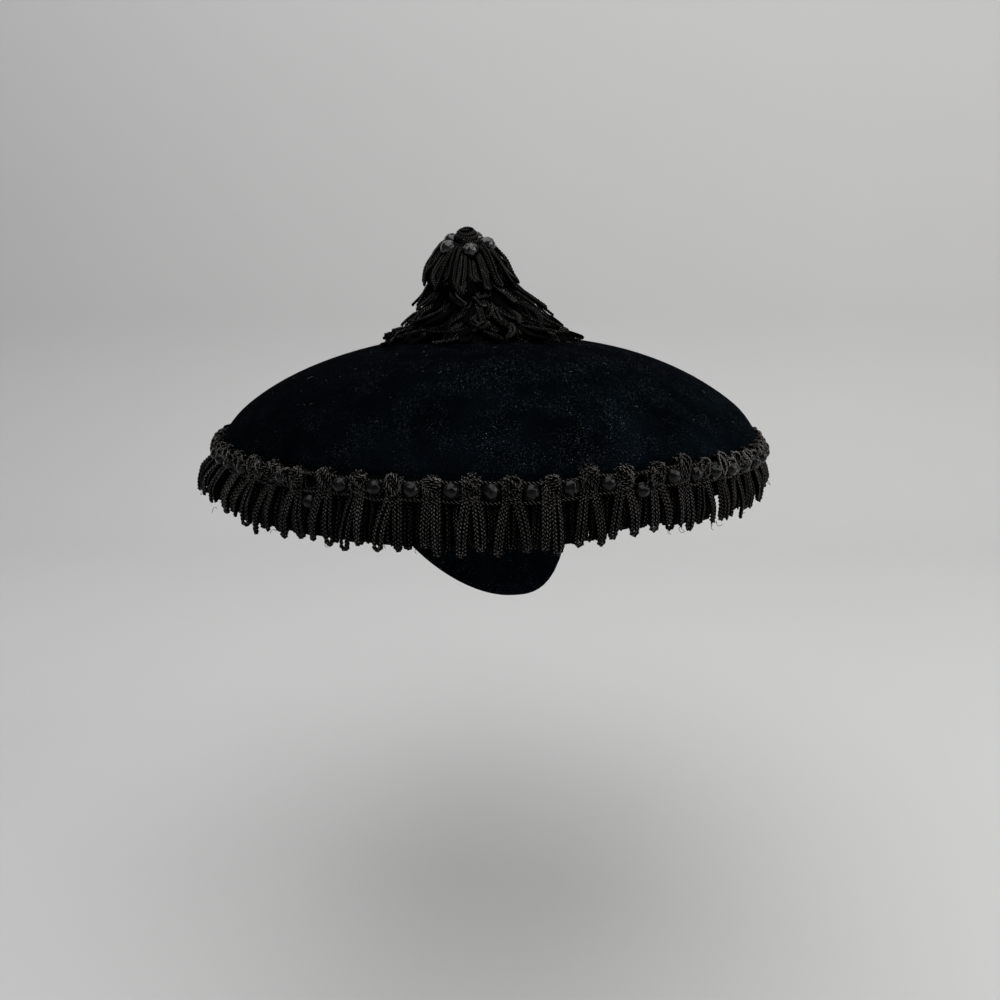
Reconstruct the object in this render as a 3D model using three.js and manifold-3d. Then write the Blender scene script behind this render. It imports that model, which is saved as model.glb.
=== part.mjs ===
// A cocktail hat: a shallow velvet dome with a fringed and beaded rim, a four-tiered fringe topknot, and a
// close inner cap whose rounded lobes come down over the ears. Lengths are millimetres. +Z is up, -Y is the
// wearer's front and +X the wearer's left. The origin is where the top of the head meets the inner cap.

import * as THREE from 'three';
import { ParametricGeometry } from 'three/addons/geometries/ParametricGeometry.js';
import { mergeVertices } from 'three/addons/utils/BufferGeometryUtils.js';
import Module from 'manifold-3d';

const wasm = await Module();
wasm.setup();

// Driving dimensions.

const GAP = 0.3; // clearance between pieces that lie against each other
const ROUND = 60; // facets round the crown and the inner cap

// The inner cap is part of an ellipsoid shell. Its edge drops into a lobe on each side, which slopes
// gently towards the front and steeply towards the back.
const CAP = { halfWidth: 70, halfLength: 86, halfHeight: 90, wall: 2, rows: 13, sideCrowding: 0.225 };
const CAP_EDGE = { depth: 57, lobeDrop: 32.5, lobeCentre: 6.3 };
const LOBE_FRONT = { reach: 52, flatness: 1.75, shoulder: 1 };
const LOBE_BACK = { reach: 24, flatness: 3.3, shoulder: 0.75 };

// The crown's height over its rim falls with radius as rise * (1 - (r / radius)^fullness)^shoulder, and
// its velvet is turned down behind the fringe.
const CROWN = { radius: 114, rise: 39.7, fullness: 2.4, shoulder: 0.8, wall: 2.4, turnDown: 15, tuck: 1.5 };
const CROWN_TOP = CAP.wall + GAP + CROWN.wall;
const RIM = CROWN_TOP - CROWN.rise;

// The rim with its trim is drawn in a little at the wearer's front and back, by up to `front` and `back`
// there, and less towards the sides. It starts at radius `from` on the dome and is full at radius `to`.
const DRAWN_IN = { front: 1.6, back: 3, sharpness: 4, from: 104, to: 114 };

// The rim trim: one bead and one lock of looped cords to each unit. Angles run in degrees from the
// wearer's left towards the back, and the units were sewn closer together in one short stretch.
const TRIM_STRETCHES = [
	{ from: -180, to: 30, units: 35 },
	{ from: 30, to: 50, units: 4 },
	{ from: 50, to: 180, units: 22 },
];

// A lock's sections from its knot to its tip. Radius and height place the outer face, fill is the share
// of the unit that the lock takes up, and the inner face lies `thick` away, in a direction that turns
// from level at tilt 0 to straight down at tilt 90. Swing is how much further out the lock hangs at the
// front of the hat, and further in at its back. Shorten is the share of the lock's own shortening that
// lifts the section.
const RIM_LOCK = [
	{ radius: 116.2, height: -0.3, fill: 0.26, thick: 1.4, tilt: 0, swing: 0, shorten: 0 },
	{ radius: 118.4, height: -1.9, fill: 0.53, thick: 3.4, tilt: 0, swing: 0, shorten: 0 },
	{ radius: 118.6, height: -8, fill: 0.5, thick: 3.2, tilt: 0, swing: 0.5, shorten: 0 },
	{ radius: 121.7, height: -19, fill: 0.74, thick: 3.6, tilt: 0, swing: 3.2, shorten: 0.6 },
	{ radius: 120.6, height: -24.5, fill: 0.64, thick: 2.4, tilt: 0, swing: 3.2, shorten: 1 },
];

// How much shorter the cords are at an angle in degrees, and straight in between.
const SHORTER = [
	{ angle: -180, by: 2 },
	{ angle: -100, by: 4.5 },
	{ angle: -62, by: 4 },
	{ angle: -46, by: 0.5 },
	{ angle: 12, by: 0 },
	{ angle: 22, by: 3 },
	{ angle: 36, by: 2.4 },
	{ angle: 60, by: 4.5 },
	{ angle: 100, by: 4.5 },
	{ angle: 180, by: 2 },
];
const RIM_HEADER_ROW = 1;
const RIM_SEAT = { radius: 115.5, thick: 0.9, top: -2.3, bottom: -7.4 };
const RIM_BEAD = { radius: 2.3, ring: 118.8, height: -4.5, sunk: 0.9, ownNodeWithin: 102 };
const DANGLING_BEADS = [
	{ angle: -30, drop: 6.8 },
	{ angle: 24, drop: 1.7 },
];

// The topknot stands on the crown. Its heights are measured from the velvet, its middle leans forward
// as it rises, and its top slumps towards the wearer's left.
const LEAN = { base: -4, more: -6.4, from: 6, to: 30 };
const SLUMP = { slope: 0.364, from: 10, to: 30 };
const TIERS = [
	{ name: 'topknot_tier_1', locks: 10, turn: 8, rows: [
		{ radius: 7.6, height: 33.2, fill: 0.96, thick: 2.4, tilt: 70 },
		{ radius: 14, height: 32.2, fill: 0.9, thick: 2.8, tilt: 50 },
		{ radius: 18.4, height: 28.4, fill: 0.8, thick: 2.8, tilt: 38 },
		{ radius: 20.8, height: 25.6, fill: 0.66, thick: 2.8, tilt: 30 },
	] },
	{ name: 'topknot_tier_2', locks: 14, turn: 0, rows: [
		{ radius: 13, height: 26.8, fill: 0.96, thick: 2.8, tilt: 42 },
		{ radius: 17.6, height: 23.3, fill: 0.9, thick: 2.8, tilt: 42 },
		{ radius: 24.6, height: 16.9, fill: 0.84, thick: 2.8, tilt: 42 },
		{ radius: 28.7, height: 12.3, fill: 0.66, thick: 2.8, tilt: 35 },
	] },
	{ name: 'topknot_tier_3', locks: 18, turn: 7, rows: [
		{ radius: 19, height: 16.7, fill: 0.96, thick: 2.6, tilt: 45 },
		{ radius: 24.5, height: 10.8, fill: 0.9, thick: 2.8, tilt: 48 },
		{ radius: 30.5, height: 8.6, fill: 0.84, thick: 2.8, tilt: 65 },
		{ radius: 36.8, height: 7, fill: 0.66, thick: 3, tilt: 75 },
	] },
	{ name: 'topknot_tier_4', locks: 22, turn: 0, rows: [
		{ radius: 24, height: 7.2, fill: 0.96, thick: 3, tilt: 45 },
		{ radius: 30, height: 4.6, fill: 0.9, thick: 2.6, tilt: 60 },
		{ radius: 36, height: 3.2, fill: 0.84, thick: 2.9, tilt: 90 },
		{ radius: 45.3, height: 3.6, fill: 0.66, thick: 3.3, tilt: 90 },
	] },
];

// The coiled braid that the tiers are sewn to, and the little button that its end makes on top.
const CORE_PROFILE = [
	{ radius: 0, height: GAP },
	{ radius: 20.8, height: GAP },
	{ radius: 20.8, height: 6 },
	{ radius: 16.6, height: 14.3 },
	{ radius: 10.4, height: 25 },
	{ radius: 6.4, height: 31 },
	{ radius: 6.4, height: 33.2 },
	{ radius: 0, height: 33.2 },
];
const BUTTON_PROFILE = [
	{ radius: 0, height: 33.5 },
	{ radius: 4.5, height: 33.5 },
	{ radius: 4.8, height: 38 },
	{ radius: 4.3, height: 39 },
	{ radius: 5, height: 40.6 },
	{ radius: 4.6, height: 43 },
	{ radius: 2.6, height: 44.3 },
	{ radius: 0, height: 44.6 },
];
const TOP_BEADS = { count: 5, radius: 3.5, ring: 8.7, height: 37.6, turn: 12 };

// How far a lock's side edges lie in from the middle of its outer face, which makes the face round.
const LOCK_ROUNDING = 0.7;

const VELVET = { color: '#0b0c10', roughness: 0.95, metalness: 0 };
const CORD = { color: '#1c1714', roughness: 0.85, metalness: 0 };
const JET = { color: '#08080a', roughness: 0.12, metalness: 0 };

// Helpers.

const radians = THREE.MathUtils.degToRad;
const smooth = THREE.MathUtils.smoothstep;

function around(angle, radius, height) {
	return new THREE.Vector3(radius * Math.cos(angle), radius * Math.sin(angle), height);
}

function revolved(profile, facets) {
	const points = profile.map(({ radius, height }) => new THREE.Vector2(radius, height));
	return new THREE.LatheGeometry(points, facets).rotateX(Math.PI / 2);
}

function bodyOnly(geometry) {
	geometry.deleteAttribute('normal');
	geometry.deleteAttribute('uv');
	return mergeVertices(geometry, 1e-3);
}

function toManifold(geometry) {
	const body = bodyOnly(geometry);
	return new wasm.Manifold(new wasm.Mesh({
		numProp: 3,
		vertProperties: body.getAttribute('position').array,
		triVerts: Uint32Array.from(body.index.array),
	}));
}

function fromManifold(solid) {
	const { vertProperties, triVerts } = solid.getMesh();
	const geometry = new THREE.BufferGeometry();
	geometry.setAttribute('position', new THREE.BufferAttribute(Float32Array.from(vertProperties), 3));
	geometry.setIndex(Array.from(triVerts));
	return geometry;
}

// Moves each point of a geometry to where `place` puts it.
function moved(geometry, place) {
	const position = geometry.getAttribute('position');
	const point = new THREE.Vector3();
	for (let index = 0; index < position.count; index += 1) {
		point.fromBufferAttribute(position, index);
		position.setXYZ(index, ...place(point));
	}
	return geometry;
}

function piece(name, geometry, finish, place = new THREE.Vector3()) {
	const mesh = new THREE.Mesh(geometry, new THREE.MeshStandardMaterial(finish));
	mesh.geometry.computeVertexNormals();
	mesh.name = name;
	mesh.position.copy(place);
	return mesh;
}

// The crown.

function domeRise(radius, rimRadius, rise) {
	return rise * (1 - Math.min(1, radius / rimRadius) ** CROWN.fullness) ** CROWN.shoulder;
}

function velvetHeight(x, y) {
	return RIM + domeRise(Math.hypot(x, y), CROWN.radius, CROWN.rise);
}

// Points down one face of the dome, from its top to its rim, closer together near the rim.
function domeFace(rimRadius, rise, steps) {
	return Array.from({ length: steps + 1 }, (_, step) => {
		const radius = rimRadius * Math.sin(Math.PI / 2 * step / steps);
		return { radius, height: RIM + domeRise(radius, rimRadius, rise) };
	});
}

function drawnIn(point) {
	const radius = Math.hypot(point.x, point.y);
	const sideways = point.y / Math.max(radius, 1);
	const most = sideways > 0 ? DRAWN_IN.back : DRAWN_IN.front;
	const inset = most * Math.abs(sideways) ** DRAWN_IN.sharpness * smooth(radius, DRAWN_IN.from, DRAWN_IN.to);
	const share = 1 - inset / Math.max(radius, 1);
	return new THREE.Vector3(point.x * share, point.y * share, point.z);
}

function crown() {
	const outer = domeFace(CROWN.radius, CROWN.rise, 9);
	const inner = domeFace(CROWN.radius - CROWN.wall, CROWN.rise - CROWN.wall, 5);
	const edge = [CROWN.tuck, CROWN.tuck + CROWN.wall].map((inset) => (
		{ radius: CROWN.radius - inset, height: RIM - CROWN.turnDown }
	));
	return moved(revolved([...inner, edge[1], edge[0], ...outer.reverse()], ROUND), drawnIn);
}

// The inner cap.

function capEdgeDepth(sideways) {
	const fromLobe = sideways - CAP_EDGE.lobeCentre;
	const slope = fromLobe < 0 ? LOBE_FRONT : LOBE_BACK;
	const along = Math.min(1, Math.abs(fromLobe) / slope.reach);
	return CAP_EDGE.depth + CAP_EDGE.lobeDrop * (1 - along ** slope.flatness) ** slope.shoulder;
}

// The cap's surface runs from its inner pole down to the edge, across it, and up outside to its outer pole.
function capSurface(u, v, target) {
	const row = Math.round(v * CAP.rows);
	const downward = Math.min(row, CAP.rows - row) / ((CAP.rows - 1) / 2);
	const wall = row > CAP.rows / 2 ? CAP.wall : 0;
	const turn = 2 * Math.PI * u;
	const angle = turn - CAP.sideCrowding * Math.sin(2 * turn);
	const depth = capEdgeDepth(CAP.halfLength * Math.sin(angle));
	const dip = downward * Math.acos(1 - depth / CAP.halfHeight);
	target.set(
		(CAP.halfWidth + wall) * Math.sin(dip) * Math.cos(angle),
		(CAP.halfLength + wall) * Math.sin(dip) * Math.sin(angle),
		(CAP.halfHeight + wall) * Math.cos(dip) - CAP.halfHeight,
	);
}

// Rings of fringe.

// A lock is a column of five-sided sections: left, middle and right on the outer face, then right and
// left on the inner one. Between two rows the side walls of neighbours are open, and a strip of the
// header joins them, drawn in at its middle to the seat where there is one.
function lockRing({ locks, rows, headerRow, seat }) {
	const positions = [];
	const faces = [];
	const addPoint = (point) => positions.push(point) - 1;
	const addQuad = (a, b, c, d) => faces.push(a, b, c, a, c, d);
	const sections = locks.map(({ angle, pitch, shorter = 0 }) => rows.map((row) => {
		const half = row.fill * pitch / 2;
		const height = row.height + (row.shorten ?? 0) * shorter;
		const outer = row.radius - (row.swing ?? 0) * Math.sin(angle);
		const edge = outer - LOCK_ROUNDING;
		const inner = outer - row.thick * Math.cos(radians(row.tilt));
		const innerHeight = height - row.thick * Math.sin(radians(row.tilt));
		return [
			around(angle - half, edge, height),
			around(angle, outer, height),
			around(angle + half, edge, height),
			around(angle + half, inner, innerHeight),
			around(angle - half, inner, innerHeight),
		].map(addPoint);
	}));
	const addStrip = (here, there) => here.forEach((corner, side) => {
		const next = (side + 1) % here.length;
		addQuad(here[next], there[next], there[side], corner);
	});
	sections.forEach((column, lock) => {
		for (let row = 0; row + 1 < rows.length; row += 1) {
			const [upper, lower] = [column[row], column[row + 1]];
			upper.forEach((corner, side) => {
				const next = (side + 1) % upper.length;
				const isOpen = row === headerRow && (side === 2 || side === 4);
				if (!isOpen) addQuad(lower[side], lower[next], upper[next], corner);
			});
		}
		const [top, tip] = [column[0], column[rows.length - 1]];
		faces.push(top[0], top[1], top[2], tip[0], tip[2], tip[1]);
		addQuad(top[0], top[2], top[3], top[4]);
		addQuad(tip[0], tip[4], tip[3], tip[2]);
		const after = (lock + 1) % sections.length;
		const [from, to] = [column, sections[after]].map((side) => side.slice(headerRow, headerRow + 2));
		const right = [from[0][2], from[1][2], from[1][3], from[0][3]];
		const left = [to[0][0], to[1][0], to[1][4], to[0][4]];
		if (!seat) {
			addStrip(right, left);
			return;
		}
		const middle = locks[lock].angle + (locks[lock].pitch + locks[after].pitch) / 4;
		const inner = seat.radius - seat.thick;
		const drawnIn = [
			around(middle, seat.radius, seat.top),
			around(middle, seat.radius, seat.bottom),
			around(middle, inner, seat.bottom),
			around(middle, inner, seat.top),
		].map(addPoint);
		addStrip(right, drawnIn);
		addStrip(drawnIn, left);
	});
	return new THREE.BufferGeometry().setFromPoints(positions).setIndex(faces);
}

// The rim trim.

function shorterAt(degrees) {
	const next = Math.max(1, SHORTER.findIndex(({ angle }) => angle >= degrees));
	const [before, after] = [SHORTER[next - 1], SHORTER[next]];
	return THREE.MathUtils.mapLinear(degrees, before.angle, after.angle, before.by, after.by);
}

function trimUnits() {
	return TRIM_STRETCHES.flatMap(({ from, to, units }) => {
		const pitch = (to - from) / units;
		return Array.from({ length: units }, (_, unit) => {
			const beadAngle = from + pitch * unit;
			const lockAngle = beadAngle + pitch / 2;
			const lock = { angle: radians(lockAngle), pitch: radians(pitch), shorter: shorterAt(lockAngle) };
			return { beadAngle, lock };
		});
	});
}

function rimBeadPlace(beadAngle) {
	const dangling = DANGLING_BEADS.find(({ angle }) => Math.abs(angle - beadAngle) < 1e-6);
	const height = RIM + RIM_BEAD.height - (dangling ? dangling.drop : 0);
	return drawnIn(around(radians(beadAngle), RIM_BEAD.ring, height));
}

// The beads on the far side are joined to the header, sunk a little into it.
function rimFringe(units) {
	const rows = RIM_LOCK.map((row) => ({ ...row, height: row.height + RIM }));
	const seat = { ...RIM_SEAT, top: RIM + RIM_SEAT.top, bottom: RIM + RIM_SEAT.bottom };
	const locks = units.map(({ lock }) => lock);
	const ring = lockRing({ locks, rows, headerRow: RIM_HEADER_ROW, seat });
	let fringe = toManifold(moved(ring, drawnIn));
	for (const { beadAngle } of units.filter((unit) => !hasOwnBead(unit))) {
		const place = rimBeadPlace(beadAngle);
		place.sub(around(radians(beadAngle), RIM_BEAD.sunk, 0));
		const bead = new THREE.IcosahedronGeometry(RIM_BEAD.radius).translate(...place);
		fringe = fringe.add(toManifold(bead));
	}
	return fromManifold(fringe);
}

function hasOwnBead({ beadAngle }) {
	return Math.abs(beadAngle) <= RIM_BEAD.ownNodeWithin;
}

// The topknot.

function settled(point) {
	const lean = LEAN.base + LEAN.more * smooth(point.z, LEAN.from, LEAN.to);
	const slump = SLUMP.slope * point.x * smooth(point.z, SLUMP.from, SLUMP.to);
	const y = point.y + lean;
	return new THREE.Vector3(point.x, y, velvetHeight(point.x, y) + point.z - slump);
}

function settledOnCrown(geometry) {
	return moved(geometry, settled);
}

function tier({ locks, turn, rows }) {
	const pitch = 2 * Math.PI / locks;
	const ring = Array.from({ length: locks }, (_, lock) => ({ angle: radians(turn) + lock * pitch, pitch }));
	return settledOnCrown(lockRing({ locks: ring, rows, headerRow: 0 }));
}

function topBead(index) {
	const angle = radians(TOP_BEADS.turn) + 2 * Math.PI * index / TOP_BEADS.count;
	const place = settled(around(angle, TOP_BEADS.ring, TOP_BEADS.height));
	return piece(`topknot_bead_${index + 1}`, new THREE.DodecahedronGeometry(TOP_BEADS.radius), JET, place);
}

// The hat.

const units = trimUnits();
const hat = new THREE.Group();
hat.add(
	piece('crown', crown(), VELVET),
	piece('inner_cap', new ParametricGeometry(capSurface, ROUND, CAP.rows), VELVET),
	piece('rim_fringe', rimFringe(units), CORD),
	piece('topknot_core', settledOnCrown(revolved(CORE_PROFILE, 20)), CORD),
	piece('top_button', settledOnCrown(revolved(BUTTON_PROFILE, 12)), CORD),
	...TIERS.map((rows) => piece(rows.name, tier(rows), CORD)),
	...Array.from({ length: TOP_BEADS.count }, (_, index) => topBead(index)),
	...units.filter(hasOwnBead).map(({ beadAngle }, index) => {
		const name = `rim_bead_${String(index + 1).padStart(2, '0')}`;
		return piece(name, new THREE.IcosahedronGeometry(RIM_BEAD.radius), JET, rimBeadPlace(beadAngle));
	}),
);

export default hat;
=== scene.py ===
"""The looks of a black velvet cocktail hat.

A shallow velvet crown sits over a close inner cap with a rounded lobe over each ear. A looped cord fringe
with faceted jet beads runs round its rim, and the same fringe is coiled up at the peak as a topknot.

Sizes are in millimetres in the hat's own frame, and turn into metres where a mesh is filled. The origin is
where the cap rests on the top of the head, +X is the wearer's left, +Y the back and +Z up. Angles run from
+X towards +Y.
"""

import logging
import math
from dataclasses import dataclass, field, replace
from enum import Enum
from typing import Any, Iterable

import bpy
import numpy as np
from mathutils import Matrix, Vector


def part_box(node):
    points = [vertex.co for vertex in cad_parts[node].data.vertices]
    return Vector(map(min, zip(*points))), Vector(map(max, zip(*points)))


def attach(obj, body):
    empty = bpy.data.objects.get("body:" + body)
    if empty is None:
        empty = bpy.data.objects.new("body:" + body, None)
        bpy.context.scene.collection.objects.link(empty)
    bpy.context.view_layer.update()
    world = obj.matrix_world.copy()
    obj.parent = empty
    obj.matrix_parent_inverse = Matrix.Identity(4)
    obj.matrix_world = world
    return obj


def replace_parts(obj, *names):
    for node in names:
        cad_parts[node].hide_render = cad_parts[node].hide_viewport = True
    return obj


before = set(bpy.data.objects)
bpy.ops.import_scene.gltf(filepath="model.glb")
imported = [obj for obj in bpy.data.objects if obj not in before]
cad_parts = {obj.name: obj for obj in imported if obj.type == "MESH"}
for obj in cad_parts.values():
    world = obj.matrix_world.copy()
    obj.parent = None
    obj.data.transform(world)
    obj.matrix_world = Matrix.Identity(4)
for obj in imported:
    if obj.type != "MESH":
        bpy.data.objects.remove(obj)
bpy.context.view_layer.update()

Array = np.ndarray
Span = tuple[float, float]
Draw = np.random.Generator
Material = bpy.types.Material
MM = 0.001
BODY = "root"
LOG = logging.getLogger("cocktail_hat")
FULL_TURN = 2 * math.pi

# The names that a mesh's lay map and its marks carry.
LAY = "lay"
TINT = "tint"
PROUD = "proud"

# A lay map counts in these many millimetres.
CENTIMETRE = 10

# Edges that turn by more degrees than this are softened.
SHARP = 12

# How far across a loop's tip each of its knots lies, and how far beyond the ends of its legs.
TIP = ((0.12, 0.7), (0.5, 1.1), (0.88, 0.7))


# --- Curves and surfaces as whole arrays ---


def box_mm(node: str) -> tuple[Array, Array]:
    """Returns a frame node's lowest and highest corners in millimetres."""
    low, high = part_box(node)
    return np.array(low) / MM, np.array(high) / MM


def unit(vectors: Array) -> Array:
    """Returns vectors scaled to length one along their last axis."""
    return vectors / np.maximum(np.linalg.norm(vectors, axis=-1, keepdims=True), 1e-9)


def smoothstep(value: Array, low: float, high: float) -> Array:
    """Returns 0 below low, 1 above high and 3s^2 - 2s^3 of the share s in between."""
    share = np.clip((value - low) / (high - low), 0, 1)
    return share * share * (3 - 2 * share)


def around(angle: Array, radius: Array, height: Array) -> Array:
    """Returns points at an angle in radians and a radius about the hat's upright axis."""
    angle, radius, height = np.broadcast_arrays(angle, radius, height)
    return np.stack([radius * np.cos(angle), radius * np.sin(angle), height], axis=-1)


def in_degrees(angle: Array) -> Array:
    """Returns angles in radians as degrees between -180 and 180."""
    return np.degrees(np.angle(np.exp(1j * angle)))


def read_off(table: Iterable[Span], degrees: Array) -> Array:
    """Returns what a table of angles and amounts gives at some angles, straight between its rows."""
    return np.interp(degrees, *np.array(table).T)


def swell(value: Array, middle: float, width: float) -> Array:
    """Returns exp(-((value - middle) / width)^2), which is 1 at its middle and falls off to 0."""
    return np.exp(-(((value - middle) / width) ** 2))


def smooth_curve(knots: Array, count: int) -> Array:
    """Draws a smooth curve through each row of knots.

    Between knots b and c, with neighbours a and d, the point is the Catmull-Rom cubic, which is half of
    2b + (c - a) t + (2a - 5b + 4c - d) t^2 + (3b - a - 3c + d) t^3.

    Args:
        knots: Points of shape (lines, knots, 3).
        count: How many points each curve gets.

    Returns:
        Points of shape (lines, count, 3), evenly spread over the knots.
    """
    before = 2 * knots[:, :1] - knots[:, 1:2]
    after = 2 * knots[:, -1:] - knots[:, -2:-1]
    padded = np.concatenate([before, knots, after], axis=1)
    place = np.linspace(0, knots.shape[1] - 1, count)
    span = np.minimum(place.astype(int), knots.shape[1] - 2)
    t = (place - span)[None, :, None]
    a, b, c, d = (padded[:, span + offset] for offset in range(4))
    square = 2 * a - 5 * b + 4 * c - d
    cube = 3 * b - a - 3 * c + d
    return (2 * b + (c - a) * t + square * t**2 + cube * t**3) / 2


def run_along(path: Array) -> Array:
    """Returns the length run so far at each point of each line, of shape (lines, points)."""
    gaps = np.linalg.norm(np.diff(path, axis=1), axis=2)
    return np.concatenate([np.zeros((len(path), 1)), np.cumsum(gaps, axis=1)], axis=1)


def even_steps(path: Array, count: int) -> Array:
    """Spaces points evenly by length along each line.

    Each line's running length is scaled to 0..1 and shifted by twice the line's number, so that one sorted
    search finds the wanted shares of every line at once. A point is mixed straight between its neighbours.

    Args:
        path: Points of shape (lines, points, 3).
        count: How many points each line gets.

    Returns:
        Points of shape (lines, count, 3).
    """
    lines, points = path.shape[:2]
    run = run_along(path)
    share = run / run[:, -1:]
    shift = 2.0 * np.arange(lines)[:, None]
    wanted = np.broadcast_to(np.linspace(0, 1, count), (lines, count))
    found = np.searchsorted((share + shift).ravel(), (wanted + shift).ravel(), side="right") - 1
    row = np.arange(lines)[:, None]
    place = np.clip(found.reshape(lines, count) - row * points, 0, points - 2)
    start, end = share[row, place], share[row, place + 1]
    mix = np.clip((wanted - start) / np.maximum(end - start, 1e-9), 0, 1)[..., None]
    return path[row, place] * (1 - mix) + path[row, place + 1] * mix


def looped(legs: list[Array], beyond: Array) -> Array:
    """Joins the two legs of each loop by a round tip.

    Each knot of the tip lies a share of the way from one leg's end to the other's, and a little beyond them.

    Args:
        legs: Two arrays of shape (loops, sections, 3), each from the head down to the tip.
        beyond: The way that the tips point, of length one.

    Returns:
        The knots of whole loops, of shape (loops, knots, 3).
    """
    down, up = legs[0], legs[1][:, ::-1]
    tip = [down[:, -1:] * (1 - share) + up[:, :1] * share + beyond * reach for share, reach in TIP]
    return np.concatenate([down, *tip, up], axis=1)


def grid_corners(rows: int, columns: int, wrap: bool) -> tuple[Array, Array]:
    """Lists the corners of a grid's faces.

    Args:
        rows: Points down the grid.
        columns: Points across the grid.
        wrap: Whether the last column joins the first.

    Returns:
        Each corner's row and column, both of shape (faces, 4). They run counter-clockwise where rows run down
        and columns run right. A corner on the seam keeps the column number that follows the last one.
    """
    last = columns if wrap else columns - 1
    row, column = np.meshgrid(np.arange(rows - 1), np.arange(last), indexing="ij")
    row, column = row.reshape(-1, 1), column.reshape(-1, 1)
    return row + np.array([[0, 1, 1, 0]]), column + np.array([[0, 0, 1, 1]])


@dataclass
class Shape:
    """A mesh as whole arrays: points, faces by corner count, and what the finishes read."""

    points: Array  # Points of shape (n, 3), in millimetres
    faces: list[Array]  # Arrays of corner numbers, each of shape (m, corners)
    lays: list[Array]  # Arrays of shape (m, corners, 2) that match the faces, in centimetres across and along
    tint: Array  # One number for each point, the same over a whole cord, bead or fibre
    # How far each point of a cord stands out of it, from -1 to 1. It is 0 on other surfaces.
    proud: Array | None = None

    def __post_init__(self) -> None:
        """Leaves proud at 0 where it isn't given."""
        if self.proud is None:
            self.proud = np.zeros(len(self.points))

    @staticmethod
    def joined(shapes: Iterable["Shape"]) -> "Shape":
        """Puts several shapes into one mesh.

        Args:
            shapes: The shapes, in order.

        Returns:
            One shape, with each face's corner numbers moved past the points before it.
        """
        shapes = list(shapes)
        starts = np.cumsum([0] + [len(shape.points) for shape in shapes[:-1]])
        return Shape(
            np.concatenate([shape.points for shape in shapes]),
            [face + start for shape, start in zip(shapes, starts) for face in shape.faces],
            [lay for shape in shapes for lay in shape.lays],
            np.concatenate([shape.tint for shape in shapes]),
            np.concatenate([shape.proud for shape in shapes]),
        )

    def triangles(self) -> int:
        """Returns how many triangles the faces split into."""
        return int(sum(len(face) * (face.shape[1] - 2) for face in self.faces))

    def build(
        self, name: str, material: Material, slot: "Slot", smooth: bool = True
    ) -> bpy.types.Object:
        """Fills a mesh with the shape and puts it on the hat.

        Args:
            name: The piece's name.
            material: Its finish.
            slot: The record's material slot, which is not used.
            smooth: Whether light rounds its faces off.

        Returns:
            The new object, at the origin and riding on the hat.
        """
        corners = np.concatenate([face.ravel() for face in self.faces]).astype(np.int32)
        totals = np.concatenate([np.full(len(face), face.shape[1]) for face in self.faces])
        starts = np.concatenate([[0], np.cumsum(totals)[:-1]]).astype(np.int32)
        mesh = bpy.data.meshes.new(name)
        mesh.vertices.add(len(self.points))
        mesh.vertices.foreach_set("co", (self.points * MM).astype(np.float32).ravel())
        mesh.loops.add(len(corners))
        mesh.loops.foreach_set("vertex_index", corners)
        mesh.polygons.add(len(starts))
        mesh.polygons.foreach_set("loop_start", starts)
        mesh.polygons.foreach_set("use_smooth", np.full(len(starts), smooth))
        mesh.update(calc_edges=True)
        lay = np.concatenate([lay.reshape(-1, 2) for lay in self.lays]).astype(np.float32)
        mesh.uv_layers.new(name=LAY).data.foreach_set("uv", lay.ravel())
        for name_of_mark, mark in ((TINT, self.tint), (PROUD, self.proud)):
            attribute = mesh.attributes.new(name_of_mark, "FLOAT", "POINT")
            attribute.data.foreach_set("value", mark.astype(np.float32))
        mesh.materials.append(material)
        piece = bpy.data.objects.new(name, mesh)
        bpy.context.scene.collection.objects.link(piece)
        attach(piece, BODY)
        LOG.info("%s: %d triangles", name, self.triangles())
        return piece


def sheet(points: Array, wrap: bool, tint: float = 0.5) -> Shape:
    """Makes a surface from a grid of points.

    Args:
        points: Points of shape (rows, columns, 3), whose rows run down and columns run right as seen from
            outside.
        wrap: Whether the last column joins the first.
        tint: The number that its finish reads.

    Returns:
        The surface.
    """
    rows, columns = points.shape[:2]
    row, column = grid_corners(rows, columns, wrap)
    across = np.linalg.norm(np.diff(points, axis=1), axis=2).mean(axis=1).max()
    down = np.linalg.norm(np.diff(points, axis=0), axis=2).mean(axis=1)
    v = np.concatenate([[0], np.cumsum(down)])
    lay = np.stack([column * across, v[row]], axis=-1) / CENTIMETRE
    faces = row * columns + column % columns
    return Shape(points.reshape(-1, 3), [faces], [lay], np.full(rows * columns, tint))


def closed_rings(rings: Array, first_tip: Array, last_tip: Array, tint: float = 0.5) -> Shape:
    """Makes a closed surface from rings of points, with a fan of triangles at each end.

    Args:
        rings: Points of shape (rows, columns, 3). Rows run down the outside and columns run right.
        first_tip: The point that closes the first ring.
        last_tip: The point that closes the last ring.
        tint: The number that its finish reads.

    Returns:
        The surface.
    """
    count = rings.shape[1]
    shape = sheet(rings, wrap=True, tint=tint)
    size = len(shape.points)
    first = np.arange(count)
    after = (first + 1) % count
    last = size - count
    shape.faces.append(np.stack([np.full(count, size), first, after], axis=-1))
    shape.faces.append(np.stack([np.full(count, size + 1), last + after, last + first], axis=-1))
    shape.lays += [np.zeros((count, 3, 2)) for _ in range(2)]
    points = np.concatenate([shape.points, [first_tip, last_tip]])
    return Shape(points, shape.faces, shape.lays, np.full(size + 2, tint))


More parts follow.
